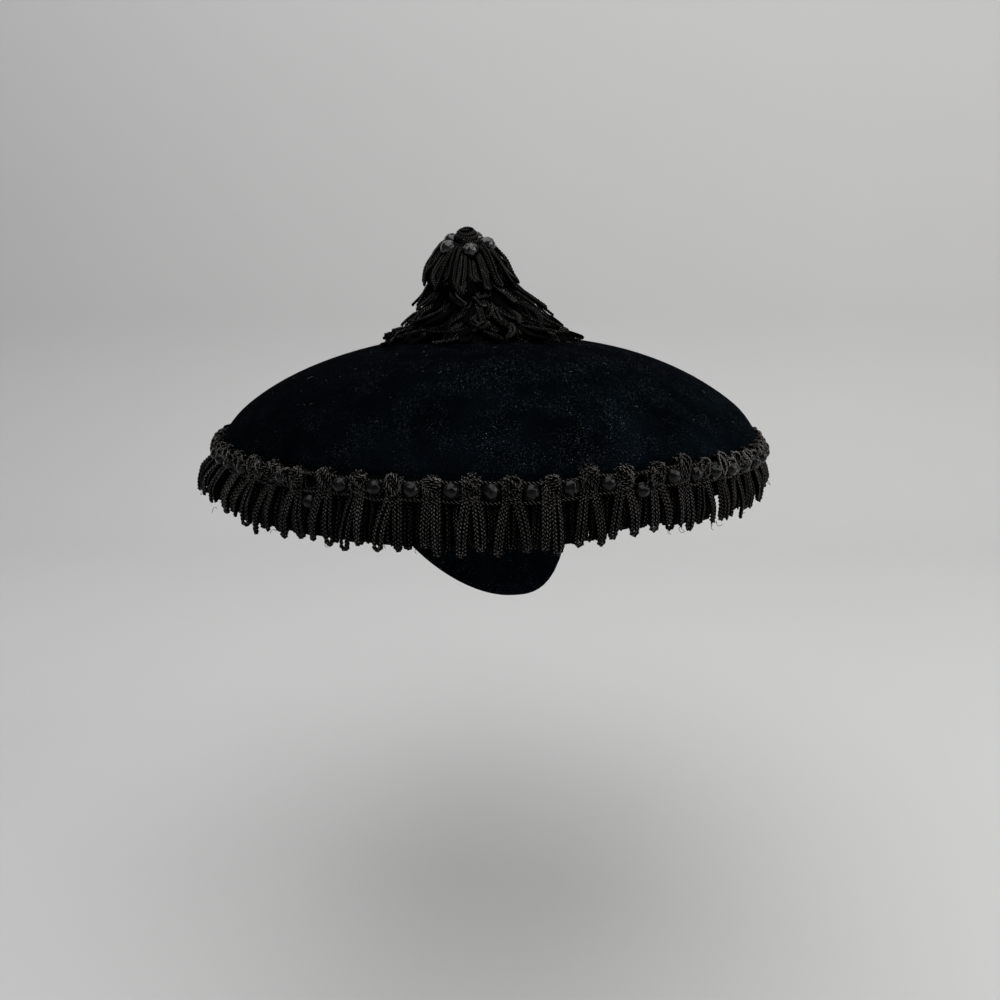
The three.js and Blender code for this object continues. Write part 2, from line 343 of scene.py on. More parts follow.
def revolved(profile: Array, count: int, tint: float = 0.5) -> Shape:
    """Turns a profile about the hat's upright axis and closes its ends.

    A point at turn a is (radius cos a, radius sin a, height).

    Args:
        profile: Radius and height of shape (rows, 2). It starts and ends on the axis, and runs down the
            outside first.
        count: Steps round the axis.
        tint: The number that its finish reads.

    Returns:
        A closed surface.
    """
    turn = np.arange(count) * FULL_TURN / count
    rings = around(turn[None, :], profile[1:-1, 0, None], profile[1:-1, 1, None])
    first_tip, last_tip = around(np.zeros(2), np.zeros(2), profile[[0, -1], 1])
    return closed_rings(rings, first_tip, last_tip, tint)


def soften(piece: bpy.types.Object, width: float) -> None:
    """Takes the sharpness off a cut piece's edges with a narrow bevel.

    Args:
        piece: The piece.
        width: Width of the bevel.
    """
    bevel = piece.modifiers.new("edges", "BEVEL")
    bevel.width = width * MM
    bevel.segments = 1
    bevel.limit_method = "ANGLE"
    bevel.angle_limit = math.radians(SHARP)


class Lay(Enum):
    """How a cord's strands cross one another."""

    SINGLE = 1
    CHAIN = 2
    PLAIT = 3


@dataclass(frozen=True)
class Cord:
    """A cord of one, two or three strands."""

    width: float  # How far a strand swings to each side
    depth: float  # How far it swings in and out
    strand: float  # A strand's radius
    pitch: float  # The length after which the strands have all changed places
    steps: int  # Sections in one pitch
    sides: int  # Sides of a strand
    lay: Lay = Lay.PLAIT  # How the strands cross
    taper: float = 0.45  # How much of its radius a strand keeps at its ends
    by_face: float = 0.7  # How much of a point's standing proud comes from the way that it looks
    by_strand: float = 0.3  # How much of it comes from how far out its strand lies
    # How much looking away from the cord's core counts beside looking out from its face
    sideways: float = 0.8

    def stations(self, path: Array) -> int:
        """Returns how many sections cords along these lines need, from their mean length."""
        return max(4, round(float(run_along(path)[:, -1].mean()) / self.pitch * self.steps))

    def spaced(self, path: Array) -> Array:
        """Returns the lines with evenly spaced points, one for each section that the cord needs."""
        return even_steps(path, self.stations(path))

    def along(self, path: Array, out: Array, tint: Array, roll: float | Array = 0.0) -> Shape:
        """Lays cords along lines.

        At running length s a strand sits off the line by width sin(p) across and, in a plait, by
        depth sin(2p) outwards, where p is a full turn for each pitch plus the strand's share of a turn. In
        a chain the outward part is depth cos(p). A ring of points about each strand, square to the way
        that it runs, makes its tube. A point of the ring is proud by the share by_face of how far it looks
        out from the cord's face or, times sideways, away from its core, and by the share by_strand of how
        far out its strand lies.

        Args:
            path: Lines of shape (lines, points, 3).
            out: The way that the cord's face looks at each point, of the same shape.
            tint: One number for each line, which also sets where in its pitch the line starts.
            roll: Radians that each cord is turned about its own line.

        Returns:
            The cords as closed tubes, laid out once round and in centimetres along.
        """
        lines, points = path.shape[:2]
        strands = self.lay.value
        run = run_along(path)
        forward = unit(np.gradient(path, axis=1))
        side = unit(np.cross(forward, out))
        face = np.cross(side, forward)
        roll = np.broadcast_to(np.asarray(roll, float), (lines,))[:, None, None]
        side, face = side * np.cos(roll) + face * np.sin(roll), face * np.cos(roll) - side * np.sin(roll)
        share = np.arange(strands)[None, :, None] / strands + tint[:, None, None]
        phase = FULL_TURN * (run[:, None, :] / self.pitch + share)
        outward = np.cos(phase) if self.lay is Lay.CHAIN else np.sin(2 * phase)
        centre = path[:, None] + side[:, None] * (self.width * np.sin(phase))[..., None]
        centre = centre + face[:, None] * (self.depth * outward)[..., None]
        heading = unit(np.gradient(centre, axis=2))
        left = unit(np.cross(heading, np.broadcast_to(face[:, None], heading.shape)))
        up = np.cross(left, heading)
        turn = FULL_TURN * (np.arange(self.sides)[:, None] / self.sides + 0.25)
        ring = np.cos(turn) * left[..., None, :] + np.sin(turn) * up[..., None, :]
        girth = np.full(points, self.strand)
        girth[[0, -1]] *= self.taper
        tubes = centre[..., None, :] + girth[:, None, None] * ring
        away = unit(centre - path[:, None] + 0.02 * face[:, None])
        away_from_core = np.sum(ring * away[..., None, :], axis=-1)
        # The cord finishes paint their highlight where a point is most proud
        top = np.maximum(np.sin(turn[:, 0]), self.sideways * away_from_core)
        proud = self.by_strand * outward[..., None] * (strands > 1) + self.by_face * top
        return self.skinned(
            tubes.reshape(lines * strands, points, self.sides, 3),
            np.repeat(run, strands, axis=0),
            np.repeat(tint, strands),
            proud.ravel(),
        )

    def skinned(self, tubes: Array, run: Array, tint: Array, proud: Array) -> Shape:
        """Joins rings of points into tubes with closed ends.

        Args:
            tubes: Points of shape (tubes, points, sides, 3).
            run: Length run at each point of each tube.
            tint: One number for each tube.
            proud: How far each point stands out of its cord.

        Returns:
            The tubes as one shape.
        """
        count, points, sides = tubes.shape[:3]
        size = points * sides
        row, column = grid_corners(points, sides, wrap=True)
        starts = (np.arange(count) * size)[:, None, None]
        walls = (row * sides + column % sides + starts).reshape(-1, 4)
        length = run[:, row] / CENTIMETRE
        lay = np.stack([np.broadcast_to(column / sides, length.shape), length], axis=-1).reshape(-1, 4, 2)
        ring = np.arange(sides)
        ends = np.concatenate([ring + starts[:, 0], ring[::-1] + size - sides + starts[:, 0]])
        lays = [lay, np.zeros((len(ends), sides, 2))]
        return Shape(tubes.reshape(-1, 3), [walls, ends], lays, np.repeat(tint, size), proud)


@dataclass(frozen=True)
class CutBead:
    """A round bead cut in flat facets, with its hole along one axis."""

    radius: float  # From its centre to its corners
    facets: int = 10  # Facets round it
    # Height of each ring of corners along the hole, as a share of the radius
    heights: tuple[float, ...] = (0.95, 0.72, 0.26, -0.26, -0.72, -0.95)

    def placed(self, centres: Array, axes: Array, tint: Array) -> Shape:
        """Makes a bead at each centre.

        Corners lie on a ball, in rings that each stand half a facet on from the last, and triangles join
        neighbouring rings.

        Args:
            centres: Points of shape (beads, 3).
            axes: The way that each bead's hole runs, of the same shape.
            tint: One number for each bead, which also turns it about its hole.

        Returns:
            The beads as one shape.
        """
        heights = np.array(self.heights)
        rings = len(heights)
        widths = np.sqrt(1 - heights**2)
        step = np.arange(self.facets)[None, :] + np.arange(rings)[:, None] / 2
        turn = FULL_TURN * (step[None] / self.facets + tint[:, None, None])
        axis = unit(axes)
        upright = np.abs(axis[:, 2:]) >= 0.9
        helper = np.where(upright, [[1.0, 0.0, 0.0]], [[0.0, 0.0, 1.0]])
        east = unit(np.cross(helper, axis))
        north = np.cross(axis, east)
        rim = np.cos(turn)[..., None] * east[:, None, None] + np.sin(turn)[..., None] * north[:, None, None]
        corners = rim * widths[:, None, None] + axis[:, None, None] * heights[:, None, None]
        points = centres[:, None, None] + self.radius * corners
        here = np.arange(self.facets)
        after = (here + 1) % self.facets
        upper = np.concatenate([here + ring * self.facets for ring in range(rings - 1)])
        upper_after = np.concatenate([after + ring * self.facets for ring in range(rings - 1)])
        lower, lower_after = upper + self.facets, upper_after + self.facets
        facets = np.concatenate([
            np.stack([upper, lower, upper_after], axis=-1),
            np.stack([upper_after, lower, lower_after], axis=-1),
        ])
        size = rings * self.facets
        starts = (np.arange(len(centres)) * size)[:, None, None]
        ends = np.stack([here, here[::-1] + size - self.facets])
        faces = [(facets + starts).reshape(-1, 3), (ends + starts).reshape(-1, self.facets)]
        lays = [np.zeros((len(face), face.shape[1], 2)) for face in faces]
        return Shape(points.reshape(-1, 3), faces, lays, np.repeat(tint, size))


# --- Finishes ---


class Slot(Enum):
    """The record's material slots."""

    VELVET = "velvet"
    CORD = "cord_trim"
    JET = "jet_bead"


@dataclass(frozen=True)
class Noise:
    """Cloudy noise."""

    per_mm: float  # How many clouds there are to each millimetre
    detail: float = 2.0  # How many times finer clouds are laid over them
    roughness: float = 0.5  # How strong the finer ones are
    span: Span = (0.0, 1.0)  # The noise that becomes the least and the most where it is stretched
    reach: Span = (0.0, 1.0)  # The least and the most


@dataclass(frozen=True)
class Specks:
    """Round specks of dust, all of about one size."""

    per_mm: float  # How many cells there are to each millimetre
    size: float  # A speck's radius as a share of its cell
    share: float  # How many of the cells hold a speck, from 0 to 1
    strength: float = 1.0  # How much of the dust's colour they carry


class Value:
    """A node's output in an expression. Each operator adds the Math node that works it out.

    Sums and products read the same from both sides.
    """

    def __init__(self, bench: "Bench", socket: bpy.types.NodeSocket) -> None:
        """Keeps the bench that nodes are added on and the socket that the value comes from."""
        self.bench = bench
        self.socket = socket

    def math(self, operation: str, first: Any, second: Any = 0.0) -> "Value":
        """Returns the output of a Math node with this operation on two values or numbers."""
        return self.bench.value("ShaderNodeMath", {"operation": operation}, {0: first, 1: second})

    def __add__(self, other: Any) -> "Value":
        """Returns self + other."""
        return self.math("ADD", self, other)

    __radd__ = __add__

    def __mul__(self, other: Any) -> "Value":
        """Returns self * other."""
        return self.math("MULTIPLY", self, other)

    __rmul__ = __mul__

    def __pow__(self, other: Any) -> "Value":
        """Returns self to the power of other."""
        return self.math("POWER", self, other)

    def __rpow__(self, other: Any) -> "Value":
        """Returns other to the power of self."""
        return self.math("POWER", other, self)

    def __gt__(self, other: Any) -> "Value":
        """Returns 1 where self is over other, and else 0."""
        return self.math("GREATER_THAN", self, other)

    def __lt__(self, other: Any) -> "Value":
        """Returns 1 where self is under other, and else 0."""
        return self.math("LESS_THAN", self, other)


class Bench:
    """Where the nodes of one finish are put together."""

    def __init__(self, name: str) -> None:
        """Starts an empty material.

        Args:
            name: The material's name.
        """
        self.material = bpy.data.materials.new(name)
        self.material.use_nodes = True
        self.tree = self.material.node_tree
        self.tree.nodes.clear()

    def node(self, kind: str, settings: dict[str, Any], inputs: dict[int | str, Any]) -> bpy.types.Node:
        """Adds a node.

        Args:
            kind: The node's type.
            settings: The node's own properties, which are set first.
            inputs: A number, a colour, a vector, a Value or a socket for each named or numbered input.

        Returns:
            The node.
        """
        node = self.tree.nodes.new(kind)
        for name, setting in settings.items():
            setattr(node, name, setting)
        for name, given in inputs.items():
            given = given.socket if isinstance(given, Value) else given
            if isinstance(given, bpy.types.NodeSocket):
                self.tree.links.new(given, node.inputs[name])
            else:
                node.inputs[name].default_value = given
        return node

    def value(
        self, kind: str, settings: dict[str, Any], inputs: dict[int | str, Any], output: int | str = 0
    ) -> Value:
        """Returns one of a new node's outputs as a Value."""
        return Value(self, self.node(kind, settings, inputs).outputs[output])

    def place(self) -> Value:
        """Returns the point on the object, in its own coordinates."""
        return self.value("ShaderNodeTexCoord", {}, {}, "Object")

    def mark(self, name: str) -> Value:
        """Returns the number that the mesh carries under a name."""
        return self.value("ShaderNodeAttribute", {"attribute_name": name}, {}, "Fac")

    def lay(self, across: float, along: float) -> Value:
        """Returns the lay map scaled across and along the surface."""
        inputs = {0: self.value("ShaderNodeUVMap", {"uv_map": LAY}, {}), 1: (across, along, 1.0)}
        return self.value("ShaderNodeVectorMath", {"operation": "MULTIPLY"}, inputs)

    def noise(self, where: Value, kind: Noise) -> Value:
        """Returns cloudy noise, about 0.5, over Object coordinates."""
        inputs = {"Scale": kind.per_mm / MM, "Detail": kind.detail, "Roughness": kind.roughness}
        return self.value("ShaderNodeTexNoise", {}, inputs | {"Vector": where}, "Fac")

    def clouds(self, where: Value, kind: Noise) -> Value:
        """Returns the same noise, stretched over its span."""
        return self.ramp(self.noise(where, kind), kind.span, kind.reach)

    def streaks(self, where: Value, detail: float) -> Value:
        """Returns cloudy noise on coordinates that are already scaled."""
        return self.value("ShaderNodeTexNoise", {}, {"Vector": where, "Scale": 1.0, "Detail": detail}, "Fac")

    def specks(self, where: Value, kind: Specks) -> Value:
        """Makes round specks.

        Args:
            where: Object coordinates.
            kind: The specks' sizes.

        Returns:
            1 on the specks and 0 elsewhere.
        """
        cells = self.node("ShaderNodeTexVoronoi", {}, {"Vector": where, "Scale": kind.per_mm / MM})
        chosen = self.value("ShaderNodeSeparateColor", {}, {0: cells.outputs["Color"]})
        return (Value(self, cells.outputs["Distance"]) < kind.size) * (chosen < kind.share)

    def blend(self, share: Any, low: Any, high: Any) -> Value:
        """Returns a colour that goes from low to high as share goes from 0 to 1."""
        inputs = {0: share, 6: low, 7: high}
        return self.value("ShaderNodeMix", {"data_type": "RGBA"}, inputs, 2)

    def ramp(self, given: Value, span: Span, reach: Span = (0.0, 1.0)) -> Value:
        """Returns given stretched from one span of numbers to another, and held at its ends."""
        inputs = {0: given, 1: span[0], 2: span[1], 3: reach[0], 4: reach[1]}
        return self.value("ShaderNodeMapRange", {"clamp": True}, inputs)

    def bump(self, height: Value, depth_mm: float, strength: float) -> Value:
        """Returns a normal for a relief of that depth."""
        inputs = {"Strength": strength, "Distance": depth_mm * MM, "Height": height}
        return self.value("ShaderNodeBump", {}, inputs)

    def finished(self, inputs: dict[str, Any]) -> Material:
        """Ends the finish in a Principled shader.

        Args:
            inputs: Its inputs by name.

        Returns:
            The material.
        """
        shader = self.node("ShaderNodeBsdfPrincipled", {}, inputs)
        self.node("ShaderNodeOutputMaterial", {}, {"Surface": shader.outputs[0]})
        return self.material


def grey(level: float, warmth: float = 0.0) -> tuple[float, float, float, float]:
    """Returns a grey of that level, with red raised and blue lowered by the share warmth."""
    return (level * (1 + warmth), level, level * (1 - warmth), 1.0)


@dataclass(frozen=True)
class VelvetFinish:
    """Deep black velvet with a short pile that catches light at its tips."""

    pile: float = 0.0009  # Level of the pile's own colour
    brushed: float = 0.0034  # Level where the pile leans towards the light
    tip: float = 0.012  # Level of single tips that glint, a painted highlight
    warmth: float = -0.48  # Red over blue, below 0 for a cold black
    clouds: Noise = Noise(0.06, 4.0, 0.6, (0.35, 0.7))  # Where the pile is brushed
    grain: Noise = Noise(1.4, 3.0, 0.7, (0.54, 0.74))  # The pile's single tips
    roughness: Span = (0.8, 0.98)  # Roughness of the darkest and the palest grain
    painted_front_shade: float = 0.35  # Share of the brushed lightening, glints and dust kept at the front, a painted shade on the side away from the window light
    painted_front_shade_span: Span = (-0.09, 0.0)  # Where that starts and ends, in metres towards the back
    painted_top_shade: float = 0.06  # Share of the brushed lightening and glints kept at the dome's top, a painted shade that darkens it
    painted_top_shade_span: Span = (-0.028, 0.001)  # Where that starts and ends, in metres upwards
    dust: float = 0.075  # Level of the dust specks
    dust_warmth: float = -0.18  # Red over blue of the fine ones
    drifts: Noise = Noise(0.08, 4.0, 0.65, (0.42, 0.62), (0.05, 0.9))  # Where the dust has drifted
    fine: Specks = Specks(1.7, 0.26, 0.75, 0.45)  # The smallest specks
    middling: Specks = Specks(0.95, 0.19, 0.3, 0.8)  # The next ones
    coarse: Specks = Specks(0.27, 0.045, 0.08)  # The largest, which lie outside the drifts too
    sheen: float = 0.0005  # Weight of the soft light along the pile
    sheen_spread: float = 0.4  # How widely it spreads
    sheen_colour: tuple[float, float, float, float] = (0.72, 0.82, 1.0, 1.0)  # Its colour
    relief_mm: float = 0.25  # Depth of the grain's relief

    def material(self) -> Material:
        """Builds the finish.

        A painted shade darkens it towards the front and at the dome's top. Broad soft clouds brush it, fine
        grain sets single tips that carry painted glints, and specks in three sizes lay dust on it in drifts.

        Returns:
            The material.
        """
        bench = Bench("black_velvet")
        place = bench.place()
        height = bench.value("ShaderNodeSeparateXYZ", {}, {0: place}, "Z")
        back = bench.value("ShaderNodeSeparateXYZ", {}, {0: place}, "Y")
        # Painted shade: less brushed lightening and fewer glints towards the front and at the dome's top
        lean = bench.ramp(back, self.painted_front_shade_span, (self.painted_front_shade, 1.0))
        painted_shading = bench.ramp(height, self.painted_top_shade_span, (1.0, self.painted_top_shade)) * lean
        clouds = bench.clouds(place, self.clouds) * painted_shading
        grain = bench.noise(place, self.grain)
        tips = bench.ramp(grain, self.grain.span)
        colour = bench.blend(clouds, grey(self.pile, self.warmth), grey(self.brushed, self.warmth))
        # Painted highlight: single tips of the pile glint
        colour = bench.blend(tips * clouds, colour, grey(self.tip, self.warmth))
        # The painted shade at the front dims the dust there too
        drifts = bench.clouds(place, self.drifts) * lean
        for specks in (self.fine, self.middling):
            dusted = bench.specks(place, specks) * drifts * specks.strength
            colour = bench.blend(dusted, colour, grey(self.dust, self.dust_warmth))
        colour = bench.blend(bench.specks(place, self.coarse), colour, grey(self.dust * 2))
        return bench.finished({
            "Base Color": colour,
            "Roughness": bench.ramp(grain, (0.3, 0.7), self.roughness),
            "IOR": 1.35,
            "Specular IOR Level": 0.003,
            "Sheen Weight": self.sheen,
            "Sheen Roughness": self.sheen_spread,
            "Sheen Tint": self.sheen_colour,
            "Normal": bench.bump(grain + clouds * 0.6, self.relief_mm, 0.6),
        })


@dataclass(frozen=True)
class CordFinish:
    """Black rayon thread, spun from fine fibres, dusty, and paler on the proud strands with painted
    highlights and wear.
    """

    name: str  # The finish's name
    worn_highlight_level: float  # Level of the palest thread on top, a painted highlight that wear makes stronger
    deep: float = 0.0006  # Level down between the strands
    narrow: float = 7.0  # How narrow the painted highlight along a strand's crest is
    warmth: float = 0.05  # Red over blue
    shine: float = 0.035  # Level of the shine, where 0.5 is full
    gloss: float = 0.38  # Roughness of clean thread
    dulled: float = 0.4  # How much rougher thread is down between the strands
    # How many fibres lie round a strand, and how many follow one another in a centimetre
    fibres: Span = (9.0, 14.0)
    fibre_mm: float = 0.05  # Depth of the fibres' relief
    clouds: Noise = Noise(0.25, 3.0, 0.6)  # Where cords are more worn
    # How much the wear follows the cord's own tint, the clouds and the fibres
    wear_by: tuple[float, float, float] = (0.4, 0.8, 0.4)
    wear_span: Span = (0.45, 1.15)  # Their sum where wear is least and most
    wear_share: Span = (0.25, 1.0)  # The least wear and the most
    proud_span: Span = (0.35, 1.0)  # How proud a point is where the painted highlight starts, and where it is full
    fluff: Specks = Specks(0.5, 0.08, 0.06, 0.5)  # Specks of fluff

    def material(self) -> Material:
        """Builds the finish.

        Fibres are long streaks on the lay map that wind slowly round the strand. Thread is paler, a painted
        highlight, and smoother where a strand stands proud of its cord, and the highlight is stronger on
        cords that are more worn than others.

        Returns:
            The material.
        """
        bench = Bench(self.name)
        fibres = bench.streaks(bench.lay(*self.fibres), 3.0)
        clouds = bench.noise(bench.place(), self.clouds)
        # Painted highlight: paler thread along the crests of the proud strands, stronger where it is more
        # worn
        top = bench.ramp(bench.mark(PROUD), self.proud_span)
        by_tint, by_clouds, by_fibres = self.wear_by
        worn_highlight = bench.mark(TINT) * by_tint + clouds * by_clouds + fibres * by_fibres
        worn_highlight = top**self.narrow * bench.ramp(worn_highlight, self.wear_span, self.wear_share)
        fluff = bench.specks(bench.place(), self.fluff) * self.fluff.strength
        colour = bench.blend(worn_highlight, grey(self.deep, self.warmth), grey(self.worn_highlight_level, self.warmth))
        colour = bench.blend(fluff, colour, grey(self.worn_highlight_level * 2))
        return bench.finished({
            "Base Color": colour,
            "Roughness": bench.ramp(top + fibres * 0.3, (0.2, 1.1), (self.gloss + self.dulled, self.gloss)),
            "IOR": 1.5,
            "Specular IOR Level": self.shine,
            "Normal": bench.bump(fibres, self.fibre_mm, 0.8),
        })


@dataclass(frozen=True)
class JetFinish:
    """Polished black glass with a little dust."""

    name: str  # The finish's name
    shine: float  # Level of the shine, where 0.5 is full
    deep: float = 0.0025  # Level of the glass
    polish: float = 0.035  # Roughness of a clean facet
    dulled: float = 0.15  # How much rougher a dusty one is
    dust: Noise = Noise(0.7, 4.0, 0.65, (0.45, 0.75))  # Where dust lies

    def material(self) -> Material:
        """Builds the finish: a clear polish, duller where faint clouds of dust lie.

        Returns:
            The material.
        """
        bench = Bench(self.name)
        dust = bench.clouds(bench.place(), self.dust)
        rough = (self.polish, self.polish + self.dulled)
        return bench.finished({
            "Base Color": bench.blend(dust, grey(self.deep, -0.05), grey(self.deep * 5, -0.02)),
            "Roughness": bench.ramp(dust + bench.mark(TINT) * 0.2, (0.0, 1.2), rough),
            "IOR": 1.65,
            "Specular IOR Level": self.shine,
            "Normal": bench.bump(dust, 0.02, 0.3),
        })


@dataclass(frozen=True)
class LintFinish:
    """Pale dust fibres."""

    level: float = 0.10  # How pale they are
    patches: Noise = Noise(1.5)  # Where they are paler and duller
    roughness: Span = (0.6, 0.9)  # Roughness of the darkest and the palest patches

    def material(self) -> Material:
        """Builds the finish: grey fibres, each of its own paleness and paler in patches.

        Returns:
            The material.
        """
        bench = Bench("lint")
        patches = bench.noise(bench.place(), self.patches)
        pale = bench.ramp(bench.mark(TINT) + patches, (0.5, 1.5))
        return bench.finished({
            "Base Color": bench.blend(pale, grey(self.level * 0.2), grey(self.level)),
            "Roughness": bench.ramp(patches, (0.3, 0.7), self.roughness),
        })


@dataclass(frozen=True)
class PaintedFinish:
    """Matt pale paint on the floor and the wall behind."""

    level: float = 0.62  # How pale it is
    clouds: Noise = Noise(0.004, 3.0)  # Where it is slightly paler

    def material(self) -> Material:
        """Builds the finish: even paint with faint clouds.

        Returns:
            The material.
        """
        bench = Bench("pale_paint")
        clouds = bench.noise(bench.place(), self.clouds)
        colour = bench.blend(clouds, grey(self.level * 0.97), grey(self.level))
        return bench.finished({"Base Color": colour, "Roughness": 0.75})


class Finishes:
    """The hat's finishes, each made once."""

    def __init__(self) -> None:
        """Makes each finish."""
        self.velvet = VelvetFinish().material()
        # Each cord finish's highlight level sets how strong its painted highlight is; the crochet heads get
        # the strongest
        self.cord = CordFinish(name="black_cord", worn_highlight_level=0.49).material()
        self.crochet = CordFinish(name="crochet_cord", worn_highlight_level=0.7, narrow=3.5).material()
        self.topknot = CordFinish(name="topknot_cord", worn_highlight_level=0.5).material()
        # A copy of the cord finish with its painted highlight left off, a painted shade for the parts that
        # lie behind or inside: the inner loops, the heads' filling, the tape, the topknot's core and its
        # linings
        self.painted_shade_cord = CordFinish(name="black_cord_painted_shade", worn_highlight_level=0.003, shine=0.028, gloss=0.6).material()
        self.rim_jet = JetFinish(name="rim_jet", shine=0.115).material()
        self.top_jet = JetFinish(name="top_jet", shine=0.38).material()
        self.lint = LintFinish().material()
        self.paint = PaintedFinish().material()


# --- Crown and inner cap ---


@dataclass(frozen=True)
class Dome:
    """The crown's outer face. Its height over the rim is rise (1 - (r / radius)^fullness)^shoulder."""

    radius: float  # Radius at the rim
    top: float  # Height of its middle
    rise: float = 39.7  # From its rim to its middle
    fullness: float = 2.4  # How far out the dome stays high
    shoulder: float = 0.77  # How steeply it then turns down
    drawn_front: float = 0.8  # How far the rim is drawn in at the wearer's front
    drawn_back: float = 1.6  # The same at the back
    drawn_from: float = 104  # The radius where that starts

    @property
    def rim(self) -> float:
        """Returns the rim's height."""
        return self.top - self.rise

    def over_rim(self, share: Array, rise: float) -> Array:
        """Returns the height over the rim at a share of the rim's radius, for a dome of that rise."""
        return rise * (1 - np.clip(share, 0, 1) ** self.fullness) ** self.shoulder

    def height(self, x: Array, y: Array) -> Array:
        """Returns the velvet's height at a place."""
        return self.rim + self.over_rim(np.hypot(x, y) / self.radius, self.rise)

    def drawn_in(self, points: Array) -> Array:
        """Draws points near the rim in towards the axis.

        They move by drawn_front or drawn_back times (y / r)^4, and by a share of that which grows smoothly
        from 0 at the radius drawn_from to 1 at the rim.

        Args:
            points: Points of shape (..., 3).

        Returns:
            The points moved.
        """
        radius = np.maximum(np.hypot(points[..., 0], points[..., 1]), 1)
        sideways = points[..., 1] / radius
        most = np.where(sideways > 0, self.drawn_back, self.drawn_front)
        inset = most * sideways**4 * smoothstep(radius, self.drawn_from, self.radius)
        moved = points.copy()
        moved[..., :2] *= (1 - inset / radius)[..., None]
        return moved


@dataclass(frozen=True)
class Crown:
    """The velvet crown over its stiff base."""

    dome: Dome  # Its outer face
    low: float  # Height of its turned-down edge
    wall: float = 2.4  # Thickness of the base and the velvet together
    tuck: float = 1.5  # How far the edge is drawn in at its bottom
    columns: int = 180  # Steps round it
    rows: int = 30  # Steps from its middle to its rim
    unevenness: float = 0.3  # Height of the soft waves in the velvet
    hem_steps: int = 7  # Rows round the edge's fold
    skirt_steps: int = 6  # Rows down the edge

    def profile(self) -> Array:
        """Lists the radius and height of each row, from the top's middle out, round the edge and back.

        Radii are radius sin(a) for even steps of a, so rows lie closer together near the rim.

        Returns:
            An array of shape (rows, 2).
        """
        dome = self.dome
        lean = np.sin(np.linspace(0, math.pi / 2, self.rows))
        outside = np.stack([dome.radius * lean, dome.rim + dome.over_rim(lean, dome.rise)], axis=-1)
        lean = lean[::-2]
        rise = dome.rise - self.wall
        inside = np.stack([(dome.radius - self.wall) * lean, dome.rim + dome.over_rim(lean, rise)], axis=-1)
        half = self.wall / 2
        bend = np.linspace(0, math.pi, self.hem_steps)
        hem = np.stack([
            dome.radius - self.tuck - half + half * np.cos(bend),
            self.low + half * (1 - np.sin(bend)),
        ], axis=-1)
        share = np.linspace(0, 1, self.skirt_steps)[1:-1, None]
        skirt = outside[-1] * (1 - share) + hem[0] * share
        inner_skirt = hem[-1] * (1 - share) + inside[0] * share
        inside[-1, 0] = 0
        return np.concatenate([outside, skirt, hem, inner_skirt, inside])

    def build(self, material: Material) -> None:
        """Builds the crown.

        Waves sin(3a + 5s) sin(pi s) + cos(2a - 7s) s (1 - s), where a is the turn and s the share of the
        way out to the rim, make its velvet uneven.

        Args:
            material: The velvet.
        """
        shape = revolved(self.profile(), self.columns)
        x, y, z = shape.points.T
        turn = np.arctan2(y, x)
        share = np.hypot(x, y) / self.dome.radius
        wave = np.sin(3 * turn + 5 * share) * np.sin(math.pi * share)
        wave = wave + np.cos(2 * turn - 7 * share) * share * (1 - share)
        shape.points[:, 2] = z + self.unevenness * wave * (z > self.dome.rim)
        shape.points = self.dome.drawn_in(shape.points)
        crown = shape.build("velvet_crown", material, Slot.VELVET)
        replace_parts(crown, "crown")


@dataclass(frozen=True)
class Lobe:
    """One side of the ear lobe's outline."""

    reach: float  # How far it runs from the lobe's middle
    flatness: float  # How long it stays low before it rises
    shoulder: float  # How sharply it meets the cap's edge


